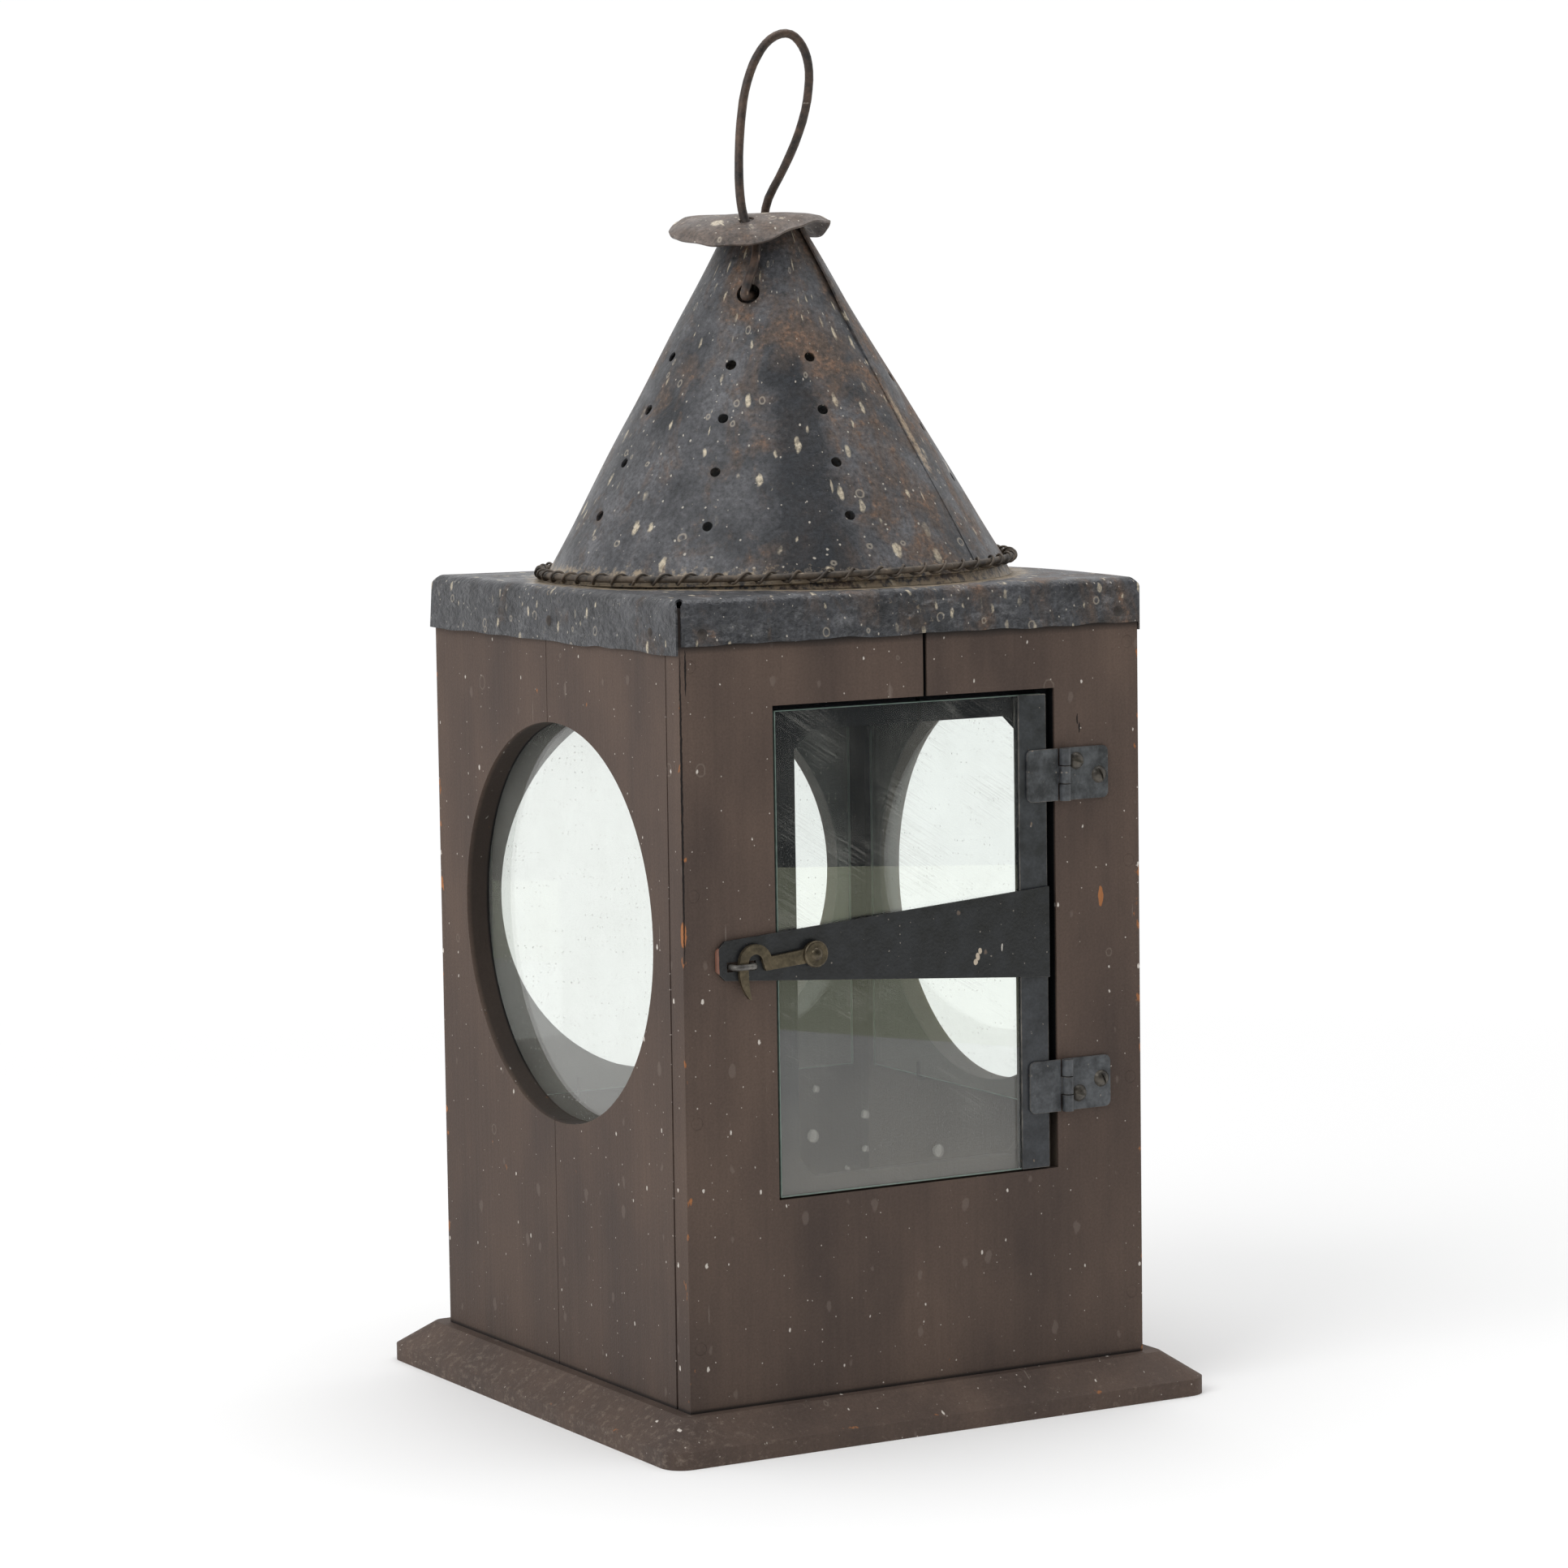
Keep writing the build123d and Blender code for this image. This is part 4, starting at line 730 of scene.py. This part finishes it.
# Tin cap: one sheet with its four sides folded down
FLAT = CAP_HALF - CAP_FOLD
ARC = CAP_FOLD * math.pi / 2
FLANGE = CAP_DROP - CAP_FOLD
FLAT_ROWS = 34
FOLD_ROWS = 6
FLANGE_ROWS = 10
half = [FLAT * i / FLAT_ROWS for i in range(FLAT_ROWS + 1)]
half += [FLAT + ARC * i / FOLD_ROWS for i in range(1, FOLD_ROWS + 1)]
half += [FLAT + ARC + FLANGE * i / FLANGE_ROWS for i in range(1, FLANGE_ROWS + 1)]
lines = [-place for place in reversed(half[1:])] + half
count = len(lines) - 1
bpy.ops.mesh.primitive_grid_add(x_subdivisions=count, y_subdivisions=count, size=2, location=(0, 0, 0))
cap = started("folded_tin_cap")
bpy.ops.object.mode_set(mode="EDIT")
bpy.ops.mesh.select_mode(type="FACE")
bpy.ops.mesh.select_all(action="DESELECT")
bpy.ops.object.mode_set(mode="OBJECT")
edge = 1 - (FOLD_ROWS + FLANGE_ROWS) * 2 / count
for face in cap.data.polygons:
    face.select = abs(face.center.x) > edge and abs(face.center.y) > edge
bpy.ops.object.mode_set(mode="EDIT")
bpy.ops.mesh.delete(type="FACE")
bpy.ops.object.mode_set(mode="OBJECT")


def folded(place):
    """Where a place along the flat sheet comes to lie after folding, and how far below the top."""
    over = abs(place) - FLAT
    if over <= 0:
        return place, 0.0
    turn = min(over / CAP_FOLD, math.pi / 2)
    out = FLAT + CAP_FOLD * math.sin(turn)
    return math.copysign(out, place), CAP_FOLD * (1 - math.cos(turn)) + max(over - ARC, 0.0)


for point in cap.data.vertices:
    u = lines[round((point.co.x + 1) / 2 * count)]
    v = lines[round((point.co.y + 1) / 2 * count)]
    x, x_drop = folded(u)
    y, y_drop = folded(v)
    drop = x_drop + y_drop
    along = v if x_drop > y_drop else u
    down = drop / CAP_DROP
    spread = 2.9 * MM * ease(drop / CAP_FOLD) * ease((abs(along) / FLAT - 0.9) / 0.1)
    # The folded sides swell between their tacks, and their cut edge is uneven
    swell = abs(math.sin(along / FLAT * math.pi)) * down * (1 - 0.4 * down)
    out = (0.5 + 0.4 * waver(along * 40, x * 30, y * 30)) * swell * 0.0022
    ragged = 0.0009 * down * waver(along * 70, x * 20, y * 20 + 3)
    sag = 0.0005 * waver(x * 25, y * 25, 5) * (1 - down)
    if y_drop > 0 and v < 0:
        drop -= FRONT_TRIM * down
    if x_drop > y_drop:
        x += math.copysign(out, x)
        y += math.copysign(spread, y)
        if x < 0:
            x -= 1.3 * MM * down * ease(y / FLAT)
    elif y_drop > 0:
        y += math.copysign(out, y)
        x += math.copysign(spread, x) if x > 0 or y > 0 else -0.55 * spread
    point.co = (x, y, CAP_TOP - drop - ragged + sag)
cleaned(cap)
top_face = max(cap.data.polygons, key=lambda face: face.center.z)
if top_face.normal.z < 0:
    cap.data.flip_normals()
modified(cap, "SOLIDIFY", thickness=TIN, offset=-1, use_even_offset=True)
bpy.ops.mesh.primitive_cylinder_add(vertices=96, radius=PLATE_HOLE, depth=0.04, location=(0, 0, CAP_TOP))
cut(cap, [started("plate_hole")])
smoothed(cap, 40)
fitted(cap, "case", "blackened_tin", ["tin_cap"], flange_tin)


# Cone: a rolled sheet with a lapped seam, dents and punched holes
def on_cone(angle, rise, out):
    """A point at an angle and height on the cone, and a way out from its outside."""
    reach = FOOT_RADIUS - SLOPE * rise + out * math.cos(CONE_TILT)
    return Vector((reach * math.cos(angle), reach * math.sin(angle), rise + out * math.sin(CONE_TILT)))


holes = []
for degrees, lift in VENT_COLUMNS:
    for row in range(VENT_ROWS):
        rise = VENT_FOOT + lift * MM + VENT_STEP * row
        holes.append((math.radians(degrees), rise, VENT_RADIUS))
holes.append((BAIL_ANGLE, BAIL_HOLE_HEIGHT, BAIL_HOLE / 2))
holes.append((BAIL_ANGLE + math.pi, BAIL_HOLE_HEIGHT, BAIL_HOLE / 2))

bpy.ops.mesh.primitive_grid_add(x_subdivisions=240, y_subdivisions=56, size=1, location=(0.5, 0.5, 0))
cone = started("rolled_cone")
for point in cone.data.vertices:
    rise = point.co.y * CONE_TOP
    radius = FOOT_RADIUS - SLOPE * rise
    turn = point.co.x * (2 * math.pi + SEAM_LAP / radius)
    angle = SEAM_ANGLE + turn
    past = turn * radius
    step = TIN * (0.35 + 0.55 * ease((rise - 0.06) / 0.03))
    out = step * (1 - ease((past - SEAM_LAP) / (5 * MM)))
    out += 1.3 * MM * ease((rise - 0.085) / 0.03) * (1 - ease(past / (8 * MM)))
    out += 0.5 * MM * waver(2.4 * math.cos(angle), 2.4 * math.sin(angle), rise * 30)
    for hole_angle, hole_rise, hole_radius in holes:
        apart = (angle - hole_angle + math.pi) % (2 * math.pi) - math.pi
        near = math.hypot(apart * radius, (rise - hole_rise) / math.cos(CONE_TILT)) / (hole_radius + 1.6 * MM)
        if near < 2:
            out -= 0.55 * MM * math.exp(-near * near)
    point.co = on_cone(angle, rise, out)
cleaned(cone)
side_face = cone.data.polygons[0]
if side_face.normal.dot(side_face.center * Vector((1, 1, 0))) < 0:
    cone.data.flip_normals()
modified(cone, "SOLIDIFY", thickness=TIN, offset=-1, use_even_offset=True)
punches = []
for hole_angle, hole_rise, hole_radius in holes:
    out = on_cone(hole_angle, 0, 1) - on_cone(hole_angle, 0, 0)
    bpy.ops.mesh.primitive_cylinder_add(
        vertices=24,
        radius=hole_radius * random.uniform(1.0, 1.12),
        depth=10 * MM,
        location=on_cone(hole_angle, hole_rise, 0),
        rotation=out.to_track_quat("Z", "Y").to_euler(),
    )
    punches.append(started("punch"))
cut(cone, punches)
placed(cone, ROOF)
smoothed(cone, 40)
fitted(cone, "case", "blackened_tin", ["roof_cone"], cone_tin)


# Rim wire and the wire that laces it to the foot of the cone
def on_ring(angle, reach, height):
    """A point at an angle, a reach and a height over the foot of the leaning roof."""
    return ROOF @ Vector((reach * math.cos(angle), reach * math.sin(angle), height))


RIM_POINTS = 72
ring = []
for i in range(RIM_POINTS):
    angle = i / RIM_POINTS * 2 * math.pi
    reach = RIM_RADIUS + 0.15 * MM * waver(i * 0.7, 2)
    ring.append(on_ring(angle, reach, RIM_OFFSET + 0.12 * MM * waver(i * 0.6)))
rim = tube("bent_rim_wire", ring, RIM_WIRE, closed_loop=True)
smoothed(rim, 60)
fitted(rim, "case", "iron_wire", ["rim_wire"], lace_wire)

lace = []
LACE_STEPS = 10
for i in range(int(LACE_TURNS * LACE_STEPS * (1 - LACE_GAP / 2 / math.pi))):
    wind = i / LACE_STEPS
    angle = 2 * math.pi * (wind + 0.22 * waver(wind * 0.9, 4)) / LACE_TURNS
    loose = LACE_RING + 0.18 * MM * abs(waver(wind * 1.7, 8))
    turn = 2 * math.pi * wind
    lace.append(on_ring(angle, RIM_RADIUS + loose * math.cos(turn), RIM_OFFSET + loose * math.sin(turn)))
lacing = tube("wound_lacing_wire", lace, LACE_WIRE, order=3, sides=2)
smoothed(lacing, 60)
fitted(lacing, "case", "iron_wire", ["lacing_wire"], lace_wire)


# Smoke cap: a bent and battered disc
def roof_place(side, near, height):
    """A place over the foot of the cone: side is against the lean, near is towards the front left."""
    turn = math.radians(-30)
    x = side * math.cos(turn) + near * math.sin(turn)
    y = side * math.sin(turn) - near * math.cos(turn)
    return Vector((x, y, height))


def cap_droop(side, near):
    """How far the smoke cap lies below its middle, at a place measured from its middle."""
    turn = math.degrees(math.atan2(near, side)) % 360 / 30
    i = int(turn)
    t = turn - i
    a, b, c, d = (CAP_RIM[(i + step) % 12] * MM for step in (-1, 0, 1, 2))
    rim_drop = b + t * (c - a + t * (2 * a - 5 * b + 4 * c - d + t * (3 * (b - c) + d - a))) / 2
    out = math.hypot(side, near) / CAP_RADIUS
    return rim_drop * out**2.6


seat = 0.0
for degrees in range(0, 360, 3):
    side = TOP_RADIUS * math.cos(math.radians(degrees)) + CAP_SHIFT
    seat = max(seat, cap_droop(side, TOP_RADIUS * math.sin(math.radians(degrees))))
seat += CONE_TOP + 0.1 * MM
bpy.ops.mesh.primitive_grid_add(x_subdivisions=64, y_subdivisions=64, size=2)
smoke_cap = started("battered_smoke_cap")
for point in smoke_cap.data.vertices:
    u = point.co.x
    v = point.co.y
    side = u * math.sqrt(1 - v * v / 2)
    near = v * math.sqrt(1 - u * u / 2)
    out = math.hypot(side, near)
    angle = math.atan2(near, side)
    size = CAP_RADIUS * (1 + 0.012 * waver(3 * math.cos(angle), 3 * math.sin(angle), 1) * out)
    side *= size
    near *= size
    height = seat - cap_droop(side, near)
    height += 0.8 * MM * waver(side * 120, near * 120, 2) * out
    height -= 1.3 * MM * ease((out - 0.86) / 0.14)
    point.co = roof_place(side - CAP_SHIFT, near, height)
cleaned(smoke_cap)
if smoke_cap.data.polygons[len(smoke_cap.data.polygons) // 2].normal.z < 0:
    smoke_cap.data.flip_normals()
modified(smoke_cap, "SOLIDIFY", thickness=TIN, offset=1, use_even_offset=True)
slots = []
for side, near, turn, length in ((-6.1, 18.0, 3, 0.7), (0.87, -18.85, 60, 0.5)):
    bpy.ops.mesh.primitive_cylinder_add(vertices=24, radius=2.3 * MM, depth=40 * MM)
    slot = started("slot")
    for point in slot.data.vertices:
        point.co.x += math.copysign(length * MM, point.co.x)
    middle = roof_place(side * MM, near * MM, seat)
    placed(slot, Matrix.Translation(middle) @ Matrix.Rotation(math.radians(turn), 4, "Z"))
    slots.append(slot)
cut(smoke_cap, slots)
eased(smoke_cap, 0.25 * MM)
placed(smoke_cap, ROOF)
smoothed(smoke_cap, 40)
fitted(smoke_cap, "case", "blackened_tin", ["smoke_cap"], cap_tin)


# Bail: a hand bent wire
def bail_hook(way):
    """The hooked end of the bail through one hole of the cone, from its tip."""
    drop = BAIL_HOLE / 2 * math.cos(CONE_TILT) - TIN / 2 * math.sin(CONE_TILT)
    height = BAIL_HOLE_HEIGHT - drop + BAIL_WIRE / 2 + 0.35 * MM
    outer = FOOT_RADIUS - SLOPE * height + BAIL_WIRE + TIN / math.cos(CONE_TILT)
    bend = 2.0 * MM
    tip = 16 * MM
    runs = ((tip, 9.5 * MM), (tip, 5 * MM), (tip, bend), (tip, 0), (tip + bend, 0))
    runs += ((outer - bend, 0), (outer, 0), (outer, bend))
    return [
        Vector((reach * way * math.cos(BAIL_ANGLE), reach * way * math.sin(BAIL_ANGLE), height + rise))
        for reach, rise in runs
    ]


corners = [roof_place(side * MM, near * MM, CONE_HEIGHT + rise * MM) for side, near, rise in BAIL_CORNERS]
run = bail_hook(1) + corners + bail_hook(-1)[::-1]
bail = tube("bent_bail_wire", [ROOF @ point for point in run], BAIL_WIRE, order=3, sides=5)
for point in bail.data.vertices:
    spread = [0.13 * MM * waver(*(point.co * 160 + Vector((shift, 0, 0)))) for shift in (0, 9, 17)]
    point.co += Vector(spread)
smoothed(bail, 60)
fitted(bail, "bail", "iron_wire", ["bail_wire"], rusty_wire)

# Panes, with ground edges
for node, body, thin_axis, shift, glass in (
    ("door_glass", "door", 1, 0.0, door_pane),
    ("left_pane", "case", 0, PANE_GAP, left_pane),
    ("right_pane", "case", 0, -PANE_GAP, wall_pane),
    ("back_pane", "case", 1, -PANE_GAP, wall_pane),
):
    pane = copied(node)
    for point in pane.data.vertices:
        point.co[thin_axis] += shift
        if body == "door" and point.co.x > 0.05:
            point.co.x -= HINGE_TRIM
    eased(pane, 0.25 * MM)
    fitted(pane, body, "glass", [node], glass, pane_edge)
    for face in pane.data.polygons:
        face.material_index = 0 if abs(face.normal[thin_axis]) > 0.99 else 1

# Straps, hinges, hook and holder, with their edges eased and worn
for node, body, slot_name, width, finish, edge in (
    ("door_channel", "door", "black_strap", 0.3, strap_paint, strap_edge),
    ("door_arm", "door", "black_strap", 0.35, arm_paint, strap_edge),
    ("upper_hinge_door_leaf", "door", "black_strap", 0.3, leaf_paint, strap_edge),
    ("lower_hinge_door_leaf", "door", "black_strap", 0.3, leaf_paint, strap_edge),
    ("upper_hinge_wall_leaf", "case", "black_strap", 0.3, leaf_paint, strap_edge),
    ("lower_hinge_wall_leaf", "case", "black_strap", 0.3, leaf_paint, strap_edge),
    ("latch_hook", "hook", "dull_brass", 0.6, brass, brass),
    ("hook_washer", "door", "dull_brass", 0.3, brass, brass),
    ("drip_pan", "case", "bare_tin", 0.2, bare_tin, bare_tin),
    ("candle_socket", "case", "bare_tin", 0.2, bare_tin, bare_tin),
):
    part = copied(node)
    if node in ("door_channel", "door_arm"):
        for point in part.data.vertices:
            if point.co.x > 0.057:
                point.co.x -= HINGE_TRIM
    eased(part, width * MM, worn=True)
    cleaned(part)
    smoothed(part, flat=True)
    fitted(part, body, slot_name, [node], finish, edge)

# Materials of the built pieces that show as they are
for node, finish in (
    ("base_nails", iron),
    ("pane_brads", iron),
    ("cap_tacks", iron),
    ("pan_tacks", iron),
    ("roof_collar", flat_tin),
    ("latch_staple", staple_iron),
    ("hinge_screws", screw_iron),
    ("upper_hinge_pin", leaf_paint),
    ("lower_hinge_pin", leaf_paint),
    ("hook_rivet", brass),
):
    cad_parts[node].data.materials.clear()
    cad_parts[node].data.materials.append(finish)

# Camera, as it was fitted to the corners of the case and the base
CAMERA_PLACE = (-0.986, -1.721, 0.438)
FOCAL_LENGTH = 117.22
AZIMUTH = math.radians(-29.83)
PITCH = math.radians(5.84)
ROLL = math.radians(-0.84)
back = Vector((math.sin(AZIMUTH) * math.cos(PITCH), -math.cos(AZIMUTH) * math.cos(PITCH), math.sin(PITCH)))
level = Vector((math.cos(AZIMUTH), math.sin(AZIMUTH), 0))
upward = back.cross(level)
right = math.cos(ROLL) * level + math.sin(ROLL) * upward
up = -math.sin(ROLL) * level + math.cos(ROLL) * upward
lens = bpy.data.cameras.new("camera")
lens.lens = FOCAL_LENGTH
lens.sensor_width = 36
lens.clip_end = 100
camera = linked("camera", lens)
camera.matrix_world = Matrix((right, up, back)).transposed().to_4x4()
camera.matrix_world.translation = CAMERA_PLACE
bpy.context.scene.camera = camera

# Table: it ends a little to the right of the lantern, as its reflection in the door shows
TABLE_WIDTH = 9
TABLE_DEPTH = 16
TABLE_END = 0.886
bpy.ops.mesh.primitive_plane_add(size=1)
floor = started("table")
floor.data.transform(Matrix.Diagonal((TABLE_WIDTH, TABLE_DEPTH, 1, 1)))
floor.data.transform(Matrix.Translation((TABLE_END - TABLE_WIDTH / 2, 6, 0)))
floor.data.transform(Matrix.Rotation(AZIMUTH, 4, "Z"))
white_table, tree, place = begun("white table")
distance = add(tree, "VectorMath", {0: place}, output=1, operation="LENGTH")
fade = add(tree, "MapRange", {"Value": distance, "From Min": 0.3, "From Max": 1.1})
path = add(tree, "LightPath").node.outputs
eye = add(tree, "Math", {0: path["Is Camera Ray"], 1: path["Is Transmission Ray"]}, operation="MAXIMUM")
fade = add(tree, "Math", {0: fade, 1: eye}, operation="MULTIPLY")
fade = add(tree, "Math", {0: fade, 1: path["Is Glossy Ray"]}, operation="MAXIMUM")
strength = add(tree, "MapRange", {"Value": path["Is Glossy Ray"], "To Min": 1.01, "To Max": 1.15})
lit = add(tree, "BsdfDiffuse", {"Color": linear("#f6f6f6")})
glow = add(tree, "Emission", {"Color": (1, 1, 1, 1), "Strength": strength})
closed(tree, add(tree, "MixShader", {0: fade, 1: lit, 2: glow}))
floor.data.materials.append(white_table)

# World: white to the eye and from behind, and to a shiny surface a dark room in front with an olive floor
ROOM_WALL = (0.07, 0.08, 0.09, 1)
ROOM_FLOOR = (0.8, 0.84, 0.6, 1)
WHITE = (1.01, 1.01, 1.01, 1)
FILL = (0.62, 0.62, 0.62, 1)
world = bpy.data.worlds.new("studio")
world.use_nodes = True
tree = world.node_tree
tree.nodes.clear()
path = add(tree, "LightPath").node.outputs
direction = add(tree, "TexCoord")
facing = add(tree, "VectorMath", {0: direction, 1: (-0.495, -0.863, 0.1)}, output=1, operation="DOT_PRODUCT")
front = add(tree, "MapRange", {"Value": facing, "From Min": -0.1, "From Max": 0.35})
dip = add(tree, "SeparateXYZ", {"Vector": direction}, output=2)
below = add(tree, "Math", {0: dip, 1: -0.118}, operation="LESS_THAN")
room = add(tree, "Mix", {0: below, 6: ROOM_WALL, 7: ROOM_FLOOR}, output=2, data_type="RGBA")
mirrored = add(tree, "Math", {0: path["Glossy Depth"], 1: 0.5}, operation="GREATER_THAN")
front = add(tree, "Math", {0: front, 1: mirrored}, operation="MULTIPLY")
seen = add(tree, "Mix", {0: front, 6: WHITE, 7: room}, output=2, data_type="RGBA")
direct = add(tree, "Math", {0: path["Is Camera Ray"], 1: path["Is Transmission Ray"]}, operation="MAXIMUM")
direct = add(tree, "Math", {0: direct, 1: path["Is Glossy Ray"]}, operation="MAXIMUM")
light = add(tree, "Mix", {0: direct, 6: FILL, 7: seen}, output=2, data_type="RGBA")
add(tree, "OutputWorld", {"Surface": add(tree, "Background", {"Color": light, "Strength": 1.0})})
bpy.context.scene.world = world


def softbox(name, place, size, power):
    """A square soft light that looks at the middle of the lantern."""
    lamp = bpy.data.lights.new(name, "AREA")
    lamp.energy = power
    lamp.size = size
    piece = linked(name, lamp)
    piece.location = place
    piece.rotation_euler = (Vector(place) - Vector((0, 0, 0.25))).to_track_quat("Z", "Y").to_euler()


softbox("key light", (-1.6, -0.5, 1.6), 1.4, 20)
softbox("top light", (0.3, 0.2, 2.2), 1.6, 20)
bpy.context.scene.view_settings.view_transform = "Standard"
